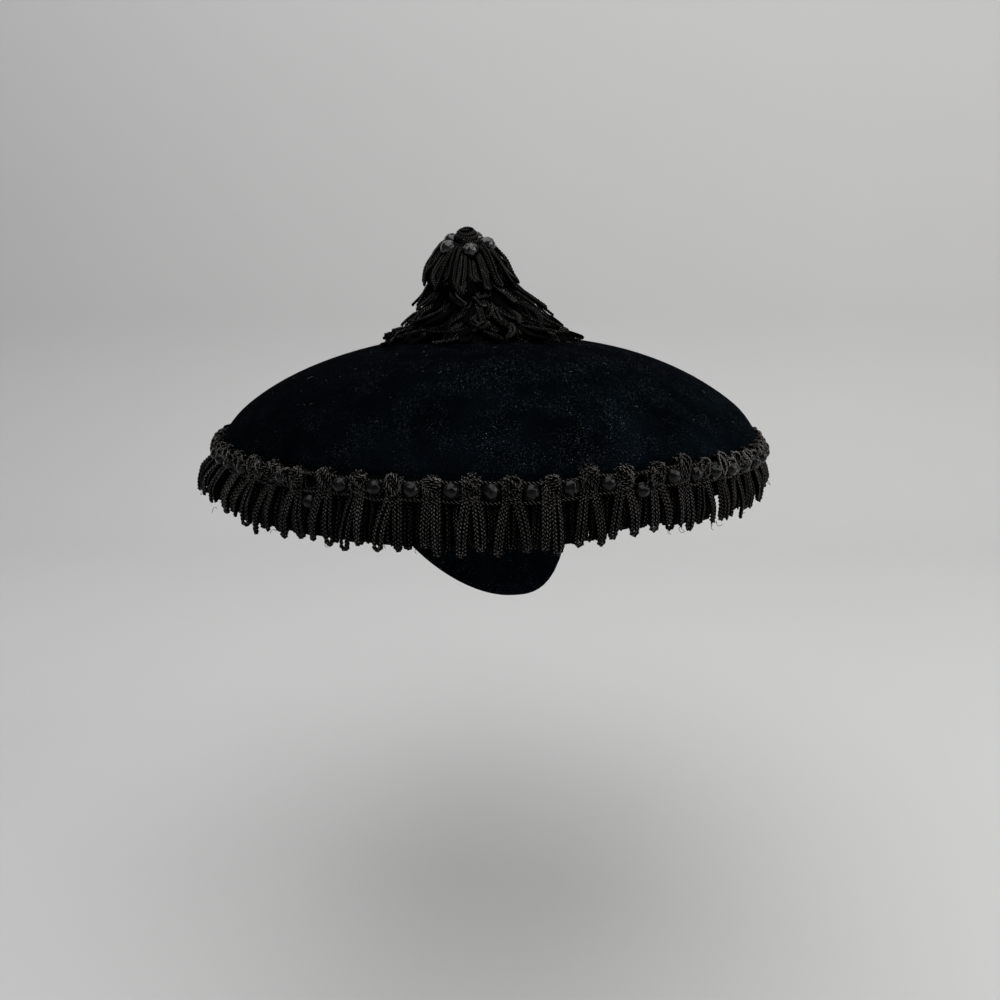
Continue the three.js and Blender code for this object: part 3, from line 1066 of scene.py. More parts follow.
@dataclass(frozen=True)
class InnerCap:
    """The close velvet cap under the crown, part of an ellipsoid."""

    half_width: float = 70  # From its middle to the side of its hollow, at the head's widest
    half_length: float = 86  # The same towards the front
    half_height: float = 90  # The same upwards
    wall: float = 2.0  # Its thickness
    depth: float = 57  # From its top down to its edge at the front
    lobe_drop: float = 32.5  # How much lower the lobes reach
    lobe_centre: float = 6.3  # How far the lobes' lowest points lie towards the back
    front: Lobe = Lobe(52, 1.75, 1.0)  # The lobe's outline towards the front
    back: Lobe = Lobe(24, 3.3, 0.75)  # The lobe's outline towards the back
    crowding: float = 0.225  # How much closer the columns stand at the sides
    columns: int = 180  # Steps round it
    rows: int = 22  # Steps from its middle to its edge
    rolled_from: float = 0.99  # The share of the way down where its edge starts to roll
    roll_steps: int = 7  # Rows round the rolled edge

    def edge_depth(self, sideways: Array) -> Array:
        """Works out how deep the edge lies.

        Within a lobe's reach the edge drops by lobe_drop (1 - s^flatness)^shoulder, where s is the share of
        the reach between the place and the lobe's middle.

        Args:
            sideways: How far towards the back each place is.

        Returns:
            The depths below the cap's top.
        """
        away = sideways - self.lobe_centre
        sides = [
            (1 - np.clip(np.abs(away) / lobe.reach, 0, 1) ** lobe.flatness) ** lobe.shoulder
            for lobe in (self.front, self.back)
        ]
        return self.depth + self.lobe_drop * np.where(away < 0, *sides)

    def build(self, material: Material) -> None:
        """Builds the cap.

        Rows go down the outside, round the rolled edge and up the inside. A point a share d of the way down
        lies on an ellipsoid at the angle d acos(1 - depth / half_height) from its top.

        Args:
            material: The velvet.
        """
        turn = np.arange(self.columns) * FULL_TURN / self.columns
        angle = turn - self.crowding * np.sin(2 * turn)
        reach = np.arccos(1 - self.edge_depth(self.half_length * np.sin(angle)) / self.half_height)
        down = np.linspace(0, self.rolled_from, self.rows)[1:]
        roll = np.linspace(0, math.pi, self.roll_steps)
        down_edge = self.rolled_from + (1 - self.rolled_from) * np.sin(roll)
        wall_edge = self.wall / 2 * (1 + np.cos(roll))
        share = np.concatenate([down, down_edge[1:-1], down[::-1]])[:, None]
        wall = np.concatenate([down * 0 + self.wall, wall_edge[1:-1], down * 0])[:, None]
        dip = share * reach
        rings = np.stack([
            (self.half_width + wall) * np.sin(dip) * np.cos(angle),
            (self.half_length + wall) * np.sin(dip) * np.sin(angle),
            (self.half_height + wall) * np.cos(dip) - self.half_height,
        ], axis=-1)
        shape = closed_rings(rings, np.array([0, 0, self.wall]), np.zeros(3))
        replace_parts(shape.build("velvet_cap", material, Slot.VELVET), "inner_cap")


# --- Rim trim ---


@dataclass(frozen=True)
class Stretch:
    """A stretch of the rim with evenly sewn units, between two angles in degrees."""

    start: float
    end: float
    units: int


@dataclass(frozen=True)
class Section:
    """One section of a loop's leg, on the rim or in the topknot."""

    radius: float  # Distance from the hat's axis, or from the topknot's
    height: float  # Height over the rim, or over the velvet
    loose: float  # How much it strays, from 0 where it is bound to 1 at its tip
    split: float = 0.0  # How far the outer loops lie from the tassel's middle, on the rim
    gap: float = 0.9  # How far each leg lies from the middle of its loop
    swing: float = 0.0  # How much further out it hangs at the front, and further in at the back


@dataclass(frozen=True)
class Row:
    """One row of loops all round the rim."""

    name: str  # What its pieces are called
    loops: int  # Loops in each tassel
    near: Cord  # The cord on the wearer's left
    far: Cord  # The cord on the far side
    leg: tuple[Section, ...]  # Sections of a loop's leg, from the head to the tip
    forward: float  # How far the middle of a tassel stands in front of its sides at the waist
    shift: float  # How far the whole row is shifted across
    vary: float  # How much the tassels' fans differ, from 0 to 1
    stray: float  # Share of the random amounts that its loops stray by
    arcs: int  # Pieces that the row is split into
    thin: bool  # Whether it is left out where the fringe is thin


PLAIT = Cord(width=0.55, depth=0.34, strand=0.37, pitch=3.9, steps=7, sides=5)
ROUGH_PLAIT = replace(PLAIT, pitch=4.0, steps=6, sides=3, strand=0.43)
ROUND_CORD = Cord(lay=Lay.SINGLE, width=0, depth=0, strand=1.0, pitch=2.4, steps=1, sides=5)
THICK_CORD = replace(ROUND_CORD, strand=1.2)
CHAIN = Cord(lay=Lay.CHAIN, width=0.42, depth=0.2, strand=0.33, pitch=2.7, steps=4, sides=3)
THIN_CHAIN = replace(CHAIN, width=0.3, depth=0.13, strand=0.22, pitch=2.3)
THREAD = Cord(lay=Lay.SINGLE, width=0, depth=0, strand=0.2, pitch=1.0, steps=1, sides=5)
FINE_THREAD = replace(THREAD, strand=0.1, pitch=0.7, sides=3)

FRONT_ROW = Row("rim_front_loops", 2, PLAIT, ROUGH_PLAIT, (
    Section(116.0, -2.0, 0.00, 1.60, 0.80, 0.0),
    Section(116.9, -1.1, 0.02, 1.75, 0.85, 0.0),
    Section(118.1, -1.7, 0.02, 1.75, 0.85, 0.0),
    Section(118.6, -4.1, 0.02, 1.60, 0.80, 0.0),
    Section(118.4, -7.8, 0.05, 1.45, 0.75, 0.2),
    Section(119.6, -11.4, 0.30, 2.00, 0.85, 1.3),
    Section(121.0, -17.4, 0.70, 2.65, 0.90, 2.8),
    Section(120.7, -22.9, 1.00, 2.95, 0.84, 3.2),
), forward=0.0, shift=0.0, vary=1.0, stray=1.0, arcs=5, thin=False)

BACK_ROW = Row("rim_back_loops", 3, ROUGH_PLAIT, ROUND_CORD, (
    Section(116.4, -4.0, 0.00, 1.70, 0.60, 0.0),
    Section(116.6, -8.0, 0.10, 2.90, 0.85, 0.0),
    Section(117.3, -12.0, 0.40, 3.90, 1.00, 1.3),
    Section(118.7, -17.5, 0.75, 4.10, 1.00, 2.8),
    Section(118.5, -22.2, 1.00, 4.10, 0.90, 3.2),
), forward=0.4, shift=0.0, vary=0.25, stray=1.0, arcs=3, thin=True)

INNER_ROW = Row("rim_inner_loops", 3, THICK_CORD, THICK_CORD, (
    Section(115.9, -5.5, 0.00, 4.10, 0.90, 0.0),
    Section(116.0, -9.5, 0.10, 4.10, 1.00, 0.0),
    Section(116.4, -14.0, 0.40, 4.10, 1.02, 1.6),
    Section(117.2, -18.4, 0.70, 4.10, 1.06, 2.8),
    Section(116.9, -22.6, 1.00, 4.10, 1.04, 3.2),
), forward=0.0, shift=1.0, vary=0.0, stray=0.3, arcs=1, thin=True)

# How widely some tassels fan out, at their angles in degrees. The others draw their own at random.
FANS = ((-15, 1.0), (-9, 0.62), (-3, 1.05), (3, 1.3), (9, 0.65), (15, 1.1))

# How much shorter the cords are at an angle in degrees.
SHORTER = (
    (-180, 2), (-100, 4.5), (-62, 5.4), (-46, 1.6), (-20, 0.6), (12, 0.6), (17, 2.4), (22, 4.8), (27, 4.8),
    (31, 3.3), (36, 3.0), (46, 2.4), (56, 3.4), (61, 5.2), (66, 7.0), (84, 7.4), (100, 6.0), (180, 2),
)

# How much higher the header is sewn at an angle in degrees.
SEWN_HIGHER = ((-180, 0), (2, 0), (8, -0.4), (15, 1.3), (30, 1.9), (40, 1.0), (52, 0), (180, 0))

# How far the tassels' heads rise over the header at an angle in degrees.
KNOBS = (
    (-180, 0.8), (-60, 0.8), (-10, 0.7), (8, 0.9), (18, 2.2), (34, 2.4), (50, 1.6), (70, 0.8), (180, 0.8),
)

# Angle and drop of each bead that dangles, and its thread's points across, out and up from its middle.
DANGLING = (
    (-30, 6.8, ((0.1, -2.2, 7.4), (0.3, -0.8, 4.6), (-0.2, -0.2, 3.1), (-1.9, 0.4, 2.3), (-2.9, 0.8, 0.2),
                (-2.4, 0.9, -1.9), (-0.4, 0.9, -3.0), (1.9, 0.9, -2.3), (2.9, 0.8, -0.2), (2.1, 0.5, 2.0),
                (0.5, -0.1, 3.1), (-0.1, -0.9, 4.9))),
    (24, 1.7, ((-4.2, 0.2, 5.6), (-2.4, 1.2, 4.6), (-0.8, 1.9, 3.6), (0.9, 2.1, 2.2), (2.2, 1.9, 0.6),
               (2.6, 1.2, -1.2), (1.6, 0.4, -2.6), (-0.2, 0.0, -2.9), (-1.9, 0.2, -1.9), (-2.6, 0.6, 0.2))),
)


def column(rows: Iterable[Any], name: str) -> Array:
    """Returns one field of each row as an array."""
    return np.array([getattr(row, name) for row in rows], float)


@dataclass(frozen=True)
class Stray:
    """How far a row's loops stray at random, in millimetres."""

    tassel: float = 0.6  # A whole tassel to one side
    across: float = 0.45  # A loop to one side
    out: float = 0.5  # A loop in or out
    low: float = 0.75  # A loop up or down
    sewn: float = 0.4  # A whole tassel up or down where it is sewn on
    leg: float = 0.15  # One leg to one side


@dataclass
class RimTrim:
    """The fringe round the rim: tassels of looped cords, a header between them, and jet beads."""

    dome: Dome  # The crown's outer face
    finishes: Finishes  # The hat's finishes
    # Stretches of evenly sewn units
    stretches: tuple[Stretch, ...] = (Stretch(-180, 30, 35), Stretch(30, 50, 4), Stretch(50, 180, 22))
    thin: float = 42.5  # Angle in degrees of the stretch where the fringe is thin
    near: float = 95  # Angle in degrees, to both sides of the wearer's left, within which plaits are finest
    tuck_in: Span = (2.1, 3.9)  # How much closer the header lies at the front, and at the back
    tuck_up: float = 1.6  # How much higher it lies there
    flare: float = 1.2  # How much further out the tips hang at the back
    twist: float = 0.5  # How far the loops twist, in radians
    roll: float = 0.3  # How far a cord rolls about its own line, in radians
    strays: Stray = Stray()  # How far the loops stray
    fan: Span = (0.75, 1.25)  # The least and most that a tassel's tips fan out
    bound: Span = (0.8, 1.15)  # The same where the tassel is bound
    loop_points: int = 150  # Points along a loop
    line_points: int = 1500  # Points along a line all round the rim
    # The heights over the rim between which the fringe passes from free to held, from its hanging part to
    # its heads, and to where these are rounded off
    held: Span = (-17, -6)
    over_head: Span = (-6.5, -1.5)
    rounded: Span = (-5.0, -1.5)
    # Middle and half width, in degrees, of the stretch whose beads aren't caught in crochet, and the half
    # width past which they aren't either
    clear: tuple[float, float, float] = (6.0, 37.0, 108.0)
    # Distance from the hat's axis and height over the rim of each tassel's binding
    waist: Span = (117.6, -7.8)
    header: Span = (116.6, -4.0)  # The same of the header's middle
    head: Span = (116.9, -4.0)  # The same of a tassel's crocheted head
    pad: Span = (117.1, -4.1)  # The same of the filling of a head
    ring: Span = (118.3, -4.6)  # The same of the chain round a bead's place
    # The same of the thread over the beads, at a bead and at a tassel
    over: tuple[Span, Span] = ((118.6, -2.0), (118.0, -1.7))
    under: tuple[Span, Span] = ((118.6, -8.0), (118.0, -7.6))  # The same of the thread under them
    # The same of each corner of the tape behind
    tape: tuple[Span, ...] = ((112.6, -2.0), (115.7, -2.0), (115.7, -7.4), (112.6, -7.4))
    far_bead: Span = (118.2, -4.5)  # The same of a bead on the far side
    dangling: Span = (118.8, -4.5)  # The same of where a dangling bead drops from
    tip: Span = (120.4, -23.7)  # The same of the loose ends
    loose_ends: int = 60  # How many of those there are
    head_size: Span = (2.75, 2.9)  # Half width and half height of a head
    pad_size: tuple[float, float, float] = (2.35, 1.35, 3.1)  # How far its filling reaches across, out and up
    bead_radius: float = 2.7  # Radius of a bead
    bead_edge: float = 0.1  # Width of its softened edges
    bead_tuck: float = 1.2  # How much closer the beads lie at the front and back than the frame's
    bead_tilt: float = 0.25  # How far a bead's hole turns away from the rim's line
    bead_sewn: float = 2.5  # A bead this far over the waists is sewn on, and a lower one dangles
    seed: int = 11  # Seed of the random draws
    draw: Draw = field(init=False)  # Where the random amounts come from

    def __post_init__(self) -> None:
        """Starts the random draws."""
        self.draw = np.random.default_rng(self.seed)

    def beads(self) -> Array:
        """Returns the angle of each unit's bead in radians."""
        angles = [
            stretch.start + np.arange(stretch.units) * (stretch.end - stretch.start) / stretch.units
            for stretch in self.stretches
        ]
        return np.radians(np.concatenate(angles))

    def tassels(self) -> Array:
        """Returns the angle of each unit's tassel, half a unit past its bead."""
        halves = [
            np.full(stretch.units, (stretch.end - stretch.start) / stretch.units / 2)
            for stretch in self.stretches
        ]
        return self.beads() + np.radians(np.concatenate(halves))

    def caught(self) -> Array:
        """Returns whether each unit's bead is caught in crochet."""
        away = np.abs(np.degrees(self.beads()) - self.clear[0])
        return (away > self.clear[1]) & (away < self.clear[2])

    def on_rim(self, angle: Array, across: Array, out: Array, height: Array) -> Array:
        """Places points near the rim.

        At the wearer's front and back the header rides up the shoulder of the crown, by tuck_up and
        tuck_in times sin^4 of the angle, and at the back the tips hang further out by flare times that.
        The header also rises and falls as it is sewn.

        Args:
            angle: Angle of each point, or of its tassel.
            across: How far along the rim it lies from there.
            out: Its distance from the axis.
            height: Its height over the rim.

        Returns:
            The points.
        """
        turn = angle + across / self.dome.radius
        ends = np.sin(turn) ** 4
        back = np.sin(turn) > 0
        held = smoothstep(height, *self.held)
        out = out - np.where(back, self.tuck_in[1], self.tuck_in[0]) * ends * held
        out = out + self.flare * ends * back * (1 - held)
        height = height + (self.tuck_up * ends + self.sewn_higher(turn)) * held
        return self.dome.drawn_in(around(turn, out, height + self.dome.rim))

    def sewn_higher(self, turn: Array) -> Array:
        """Returns how much higher the header is sewn at an angle in radians."""
        return read_off(SEWN_HIGHER, in_degrees(turn))

    def knobs(self) -> Array:
        """Returns how far each tassel's head rises over the header."""
        uneven = np.random.default_rng(self.seed + 1).uniform(0.6, 1.3, len(self.tassels()))
        return uneven * read_off(KNOBS, np.degrees(self.tassels()))

    def loops(self, row: Row) -> tuple[Array, Array]:
        """Lays a row's loops of cord.

        A loop goes down one leg, turns round in a half circle and comes back up the other. The places of
        its sections across the tassel are place split plus side gap. Each tassel, loop and leg strays by a
        random amount times the section's looseness, and a loop also twists about its own middle. A head
        is rounded off by a fifth of the square of the distance across it.

        Args:
            row: The row of loops.

        Returns:
            Lines of shape (loops, points, 3), and the angle of each loop's tassel.
        """
        tassel = self.tassels()
        total = len(tassel) * row.loops
        degrees = np.degrees(tassel)
        place = np.tile(np.linspace(-1, 1, row.loops), len(tassel))[:, None]

        def each(spread: float, size: int = total) -> Array:
            """Returns a random amount for each loop, or one that a tassel's loops share."""
            return np.repeat(self.draw.normal(0, spread * row.stray, size), total // size)[:, None]

        def shared(amounts: Array) -> Array:
            """Returns each tassel's amount for each of its loops."""
            return np.repeat(amounts, row.loops)[:, None]

        stray = self.strays
        loose, swing = column(row.leg, "loose"), column(row.leg, "swing")
        fan = self.draw.uniform(*self.fan, len(tassel))
        for at, amount in FANS:
            fan[np.argmin(np.abs(degrees - at))] = amount
        fan, tight = shared(fan), shared(self.draw.uniform(*self.bound, len(tassel)))
        spread = tight + (fan - tight) * smoothstep(loose, 0.0, 0.5)
        angle = shared(tassel)
        middle = place * column(row.leg, "split") * (1 + (spread - 1) * row.vary) + row.shift
        middle = middle + (each(stray.tassel, len(tassel)) * row.vary + each(stray.across)) * loose
        out = column(row.leg, "radius") - swing * np.sin(angle) + each(stray.out) * loose
        out = out + row.forward * (1 - np.abs(place)) * (1 - 0.6 * loose)
        twist = each(self.twist) * loose
        low = column(row.leg, "height")
        shorter = shared(read_off(SHORTER, degrees))
        height = low + (shorter - each(stray.low)) * loose + each(stray.sewn, len(tassel)) * (1 - loose)
        height = height + shared(self.knobs()) * smoothstep(low, *self.over_head)
        legs = []
        for side in (-1.0, 1.0):
            reach = side * column(row.leg, "gap")
            across = middle + reach * np.cos(twist) + each(stray.leg) * loose
            rounded = height - 0.2 * across**2 * smoothstep(low, *self.rounded)
            legs.append(np.stack([across, out + reach * np.sin(twist), rounded], axis=-1))
        knots = looped(legs, np.array([0.0, 0.0, -1.0]))
        path = smooth_curve(self.on_rim(angle, knots[..., 0], knots[..., 1], knots[..., 2]), self.loop_points)
        kept = np.abs(np.degrees(angle[:, 0]) - self.thin) > (3 if row.thin else -1)
        return path[kept], angle[kept, 0]

    def facing(self, path: Array) -> Array:
        """Works out which way the cords' faces look.

        Below the header a face looks straight out from the hat. Over the header's top it looks away from
        the header's middle instead, and the two are blended between them.

        Args:
            path: Lines of shape (lines, points, 3).

        Returns:
            Directions of the same shape.
        """
        turn = np.arctan2(path[..., 1], path[..., 0])
        level = around(turn, 1.0, 0.0)
        middle = self.on_rim(turn, 0.0, *self.header)
        share = smoothstep(path[..., 2] - self.dome.rim, *self.over_head)[..., None]
        return unit(level * (1 - share) + unit(path - middle) * share)

    def hang(self, row: Row, material: Material) -> None:
        """Builds a row of loops in arcs round the rim, in a lighter cord on the far side.

        Args:
            row: The row of loops.
            material: Their finish.
        """
        path, angle = self.loops(row)
        tint = self.draw.uniform(0, 1, len(path))
        roll = self.draw.normal(0, self.roll, len(path))
        arc = np.minimum(((angle + math.pi) / FULL_TURN * row.arcs).astype(int), row.arcs - 1)
        near = np.abs(angle) < math.radians(self.near)
        for number in range(row.arcs):
            shapes = []
            for cord, side in ((row.near, near), (row.far, ~near)):
                chosen = side & (arc == number)
                if chosen.any():
                    line = cord.spaced(path[chosen])
                    shapes.append(cord.along(line, self.facing(line), tint[chosen], roll[chosen]))
            piece = Shape.joined(shapes).build(f"{row.name}_{number + 1}", material, Slot.CORD)
            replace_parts(piece, "rim_fringe")

    def crochet(self) -> Shape:
        """Works a chain of thread over each tassel's head, and over the beads that are caught in crochet.

        At share t of its run the chain is wide sin(a t + b) across and tall sin(c t + d) over the head's
        middle, pressed out onto an ellipsoid. Each head has random a, b, c and d.

        Returns:
            The chains.
        """
        caught = self.beads()[self.caught()]
        tassel = self.tassels()
        middle = np.concatenate([tassel, caught])
        size = (len(middle), 1)
        on_bead = (np.arange(len(middle)) >= len(tassel))[:, None]
        share = np.linspace(0, 1, 170)[None, :]
        wide = self.head_size[0] * self.draw.uniform(0.8, 1.1, size)
        tall = self.head_size[1] * self.draw.uniform(0.9, 1.08, size)
        knob = np.concatenate([self.knobs(), np.zeros(len(caught))])[:, None]
        first = FULL_TURN * (share * self.draw.uniform(2.4, 3.6, size) + self.draw.uniform(0, 1, size))
        second = FULL_TURN * (share * self.draw.uniform(1.4, 2.6, size) + self.draw.uniform(0, 1, size))
        across, up = wide * np.sin(first), tall * np.sin(second)
        up = up - 0.1 * across**2 * (up > 0)
        rise = knob * smoothstep(up, -2.0, 2.5)
        bulge = np.sqrt(np.clip(1 - (across / 3.5) ** 2 - (up / 3.7) ** 2, 0, 1))
        out = self.head[0] + (2.75 + 0.9 * on_bead) * bulge + 0.3 * np.sin(3 * first)
        path = CHAIN.spaced(self.on_rim(middle[:, None], across, out, up + rise + self.head[1]))
        return CHAIN.along(path, self.facing(path), self.draw.uniform(0, 1, len(path)))

    def waists(self) -> Shape:
        """Winds a chain of thread one and a half times round each tassel's waist, on an ellipse.

        Returns:
            The chains.
        """
        tassel = self.tassels()
        size = (len(tassel), 1)
        turn = np.linspace(0, 1.5 * FULL_TURN, 24)[None, :] + self.draw.uniform(0, FULL_TURN, size)
        across = 2.5 * self.draw.uniform(0.85, 1.15, size) * np.sin(turn)
        out, low = self.waist
        height = low + self.draw.normal(0, 0.35, size) + 0.5 * np.cos(turn / 2) + 0.3 * np.sin(turn)
        path = CHAIN.spaced(self.on_rim(tassel[:, None], across, out + 1.75 * np.cos(turn), height))
        middle = self.on_rim(tassel[:, None], 0.0, out, height)
        return CHAIN.along(path, path - middle[:, :1], self.draw.uniform(0, 1, len(path)))

    def frames(self) -> Shape:
        """Works a ring of chain round each bead's place, as an uneven circle.

        Returns:
            The chains.
        """
        bead = self.beads()[~self.caught()]
        size = (len(bead), 1)
        turn = np.linspace(0, 1.04 * FULL_TURN, 40)[None, :] + self.draw.uniform(0, FULL_TURN, size)
        wide, tall = self.draw.uniform(2.35, 2.8, size), self.draw.uniform(2.3, 2.9, size)
        wave = 0.25 * np.sin(3 * turn + self.draw.uniform(0, FULL_TURN, size))
        out = self.ring[0] + 0.5 * np.cos(2 * turn) + self.draw.normal(0, 0.3, size)
        across, height = (wide + wave) * np.sin(turn), self.ring[1] + (tall + wave) * np.cos(turn)
        path = THIN_CHAIN.spaced(self.on_rim(bead[:, None], across, out, height))
        return THIN_CHAIN.along(path, path * [1, 1, 0], self.draw.uniform(0, 1, len(path)))

    def pads(self) -> Shape:
        """Fills each head with a small ellipsoid.

        Returns:
            The ellipsoids.
        """
        turn = np.linspace(0, math.pi, 7)
        profile = np.stack([np.sin(turn), np.cos(turn)], axis=-1)
        profile[[0, -1], 0] = 0
        ball = revolved(profile, 10, tint=0.1)
        shapes = []
        for angle, knob in zip(self.tassels(), self.knobs()):
            across, out, up = (ball.points * [*self.pad_size[:2], self.pad_size[2] + knob / 2]).T
            points = self.on_rim(angle, across, self.pad[0] + out, up + self.pad[1] + knob / 2)
            shapes.append(replace(ball, points=points))
        return Shape.joined(shapes)

    def lines(self) -> Shape:
        """Runs a chain of thread over the beads and another one under them, all round.

        Returns:
            The two chains.
        """
        stops = np.stack([self.beads(), self.tassels()], axis=-1).ravel()
        shapes = []
        for line in (self.over, self.under):
            out, height = np.tile(line, (len(stops) // 2, 1)).T
            height = height + self.draw.normal(0, 0.25, len(stops))
            knots = self.on_rim(stops, 0.0, out, height)
            path = CHAIN.spaced(smooth_curve(np.concatenate([knots, knots[:1]])[None], self.line_points))
            shapes.append(CHAIN.along(path, path * [1, 1, 0], np.array([0.8])))
        return Shape.joined(shapes)

    def backing(self) -> Shape:
        """Makes the narrow dark tape behind the beads that the tassels are sewn to.

        Returns:
            A closed flat ring.
        """
        turn = np.arange(240) * FULL_TURN / 240
        out, height = np.array(self.tape).T[..., None]
        rings = self.on_rim(turn[None, :], 0.0, out, height)
        shape = sheet(np.concatenate([rings, rings[:1]]), wrap=True, tint=0.0)
        size = 4 * len(turn)
        faces = [face % size for face in shape.faces]
        return Shape(shape.points[:size], faces, shape.lays, shape.tint[:size])

    def sew_header(self) -> None:
        """Builds the tassels' heads with the lines between them, and what lies behind."""
        shape = Shape.joined([self.crochet(), self.waists(), self.lines(), self.frames()])
        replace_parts(shape.build("rim_header", self.finishes.crochet, Slot.CORD), "rim_fringe")
        # The heads' filling and the tape behind take the painted shade cord finish
        shape = Shape.joined([self.pads(), self.backing()])
        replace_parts(shape.build("rim_header_backing", self.finishes.painted_shade_cord, Slot.CORD), "rim_fringe")

    def string_beads(self) -> None:
        """Builds a bead in the place of each bead of the frame, and the far ones in the header's gaps."""
        nodes = sorted(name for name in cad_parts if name.startswith("rim_bead_"))
        own = []
        for name in nodes:
            low, high = box_mm(name)
            centre = ((low + high) / 2)[None]
            own.append(math.atan2(centre[0, 1], centre[0, 0]))
            piece = self.cut_beads(self.settled(centre), name.replace("rim", "jet"), name)
            soften(piece, self.bead_edge)
        angles = self.beads()
        apart = np.abs(angles[:, None] - np.array(own)[None, :]).min(axis=1)
        far = angles[apart > 0.01]
        places = self.on_rim(far, 0.0, *self.far_bead)
        self.cut_beads(places, "jet_beads_far_side", "rim_fringe")

    def settled(self, centres: Array) -> Array:
        """Shifts beads by a millimetre or two with the header that they are sewn to, unless they dangle.

        Args:
            centres: The frame's middles, of shape (beads, 3).

        Returns:
            The middles moved.
        """
        turn = np.arctan2(centres[:, 1], centres[:, 0])
        sewn = centres[:, 2] > self.dome.rim + self.waist[1] + self.bead_sewn
        inwards = self.bead_tuck * np.sin(turn) ** 4 * sewn
        moved = centres - around(turn, inwards, 0.0)
        moved[:, 2] += self.sewn_higher(turn) * sewn
        return moved

    def cut_beads(self, centres: Array, name: str, node: str) -> bpy.types.Object:
        """Builds one piece of beads whose holes run nearly along the rim.

        Args:
            centres: Their middles, of shape (beads, 3).
            name: The piece's name.
            node: The frame node that it stands for.

        Returns:
            The piece.
        """
        along = np.stack([-centres[:, 1], centres[:, 0], np.zeros(len(centres))], axis=-1)
        along = unit(along) + self.draw.normal(0, self.bead_tilt, centres.shape)
        shape = CutBead(self.bead_radius).placed(centres, along, self.draw.uniform(0, 1, len(centres)))
        piece = shape.build(name, self.finishes.rim_jet, Slot.JET, smooth=False)
        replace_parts(piece, node)
        return piece

    def loose_threads(self) -> None:
        """Builds the threads that hold the two dangling beads, and the small ends that stick out."""
        shapes = []
        for angle, drop, offsets in DANGLING:
            across, out, up = np.array(offsets).T
            height = up + self.dangling[1] - drop
            knots = self.on_rim(math.radians(angle), across, self.dangling[0] + out, height)
            path = smooth_curve(knots[None], 60)
            shapes.append(THREAD.along(path, self.facing(path), np.array([0.9])))
        count = self.loose_ends
        angle = self.draw.uniform(-math.pi, math.pi, count)[:, None]
        turn = np.linspace(0.2, 1.7, 16)[None, :] * math.pi + self.draw.uniform(-1, 1, (count, 1))
        size = self.draw.uniform(0.4, 1.0, (count, 1))
        shorter = read_off(SHORTER, np.degrees(angle))
        height = self.draw.normal(self.tip[1], 0.7, (count, 1)) + shorter + size * np.sin(turn)
        out = self.tip[0] - 3 * np.sin(angle) + self.draw.normal(0, 0.5, (count, 1)) + 0.4 * turn
        path = self.on_rim(angle, size * np.cos(turn), out, height)
        shapes.append(FINE_THREAD.along(path, self.facing(path), self.draw.uniform(0.5, 1, count)))
        piece = Shape.joined(shapes).build("rim_loose_threads", self.finishes.cord, Slot.CORD)
        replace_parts(piece, "rim_fringe")

    def build(self) -> None:
        """Builds the whole trim."""
        self.hang(FRONT_ROW, self.finishes.cord)
        self.hang(BACK_ROW, self.finishes.cord)
        # The inner loops lie behind the others and take the painted shade cord finish
        self.hang(INNER_ROW, self.finishes.painted_shade_cord)
        self.sew_header()
        self.string_beads()
        self.loose_threads()


# --- Topknot ---


@dataclass(frozen=True)
class Tier:
    """One ring of the topknot's fringe."""

    number: int  # Its number from the top
    tassels: int  # How many tassels it has
    loops: int  # Loops in each tassel
    cord: Cord  # The cord that it is looped from
    leg: tuple[Section, ...]  # Sections of a loop's leg, from the core to the tip
    curl: float  # How far the loops bend to one side or the other
    rough: float  # How far they stray up and down
    sweep: float  # Share of the topknot's sweeps that it follows


FINE_PLAIT = Cord(width=0.52, depth=0.34, strand=0.4, pitch=3.0, steps=6, sides=4)
TIER_PLAIT = replace(FINE_PLAIT, strand=0.43, pitch=3.2, steps=5, sides=3)

TIERS = (
    Tier(1, 11, 4, FINE_PLAIT, (
        Section(4.0, 35.0, 0.0),
        Section(7.6, 37.8, 0.0),
        Section(11.2, 37.0, 0.1),
        Section(15.2, 32.6, 0.3),
        Section(18.0, 28.4, 0.6),
        Section(19.4, 24.0, 1.0),
    ), 1.6, 1.0, 0.0),
    Tier(2, 10, 4, TIER_PLAIT, (
        Section(6.0, 25.0, 0.0),
        Section(12.0, 25.6, 0.1),
        Section(17.2, 22.0, 0.3),
        Section(22.2, 16.8, 0.6),
        Section(27.2, 12.0, 1.0),
    ), 4.5, 2.0, 0.4),
    Tier(3, 11, 4, TIER_PLAIT, (
        Section(10.0, 12.0, 0.0),
        Section(17.5, 13.4, 0.1),
        Section(24.0, 10.4, 0.3),
        Section(29.8, 7.4, 0.6),
        Section(34.6, 4.8, 1.0),
    ), 8.5, 2.4, 1.0),
    Tier(4, 15, 3, TIER_PLAIT, (
        Section(17.0, 4.8, 0.0),
        Section(24.5, 5.2, 0.1),
        Section(31.5, 4.0, 0.3),
        Section(37.5, 2.9, 0.6),
        Section(43.0, 2.1, 1.0),
    ), 8.5, 1.7, 1.0),
)


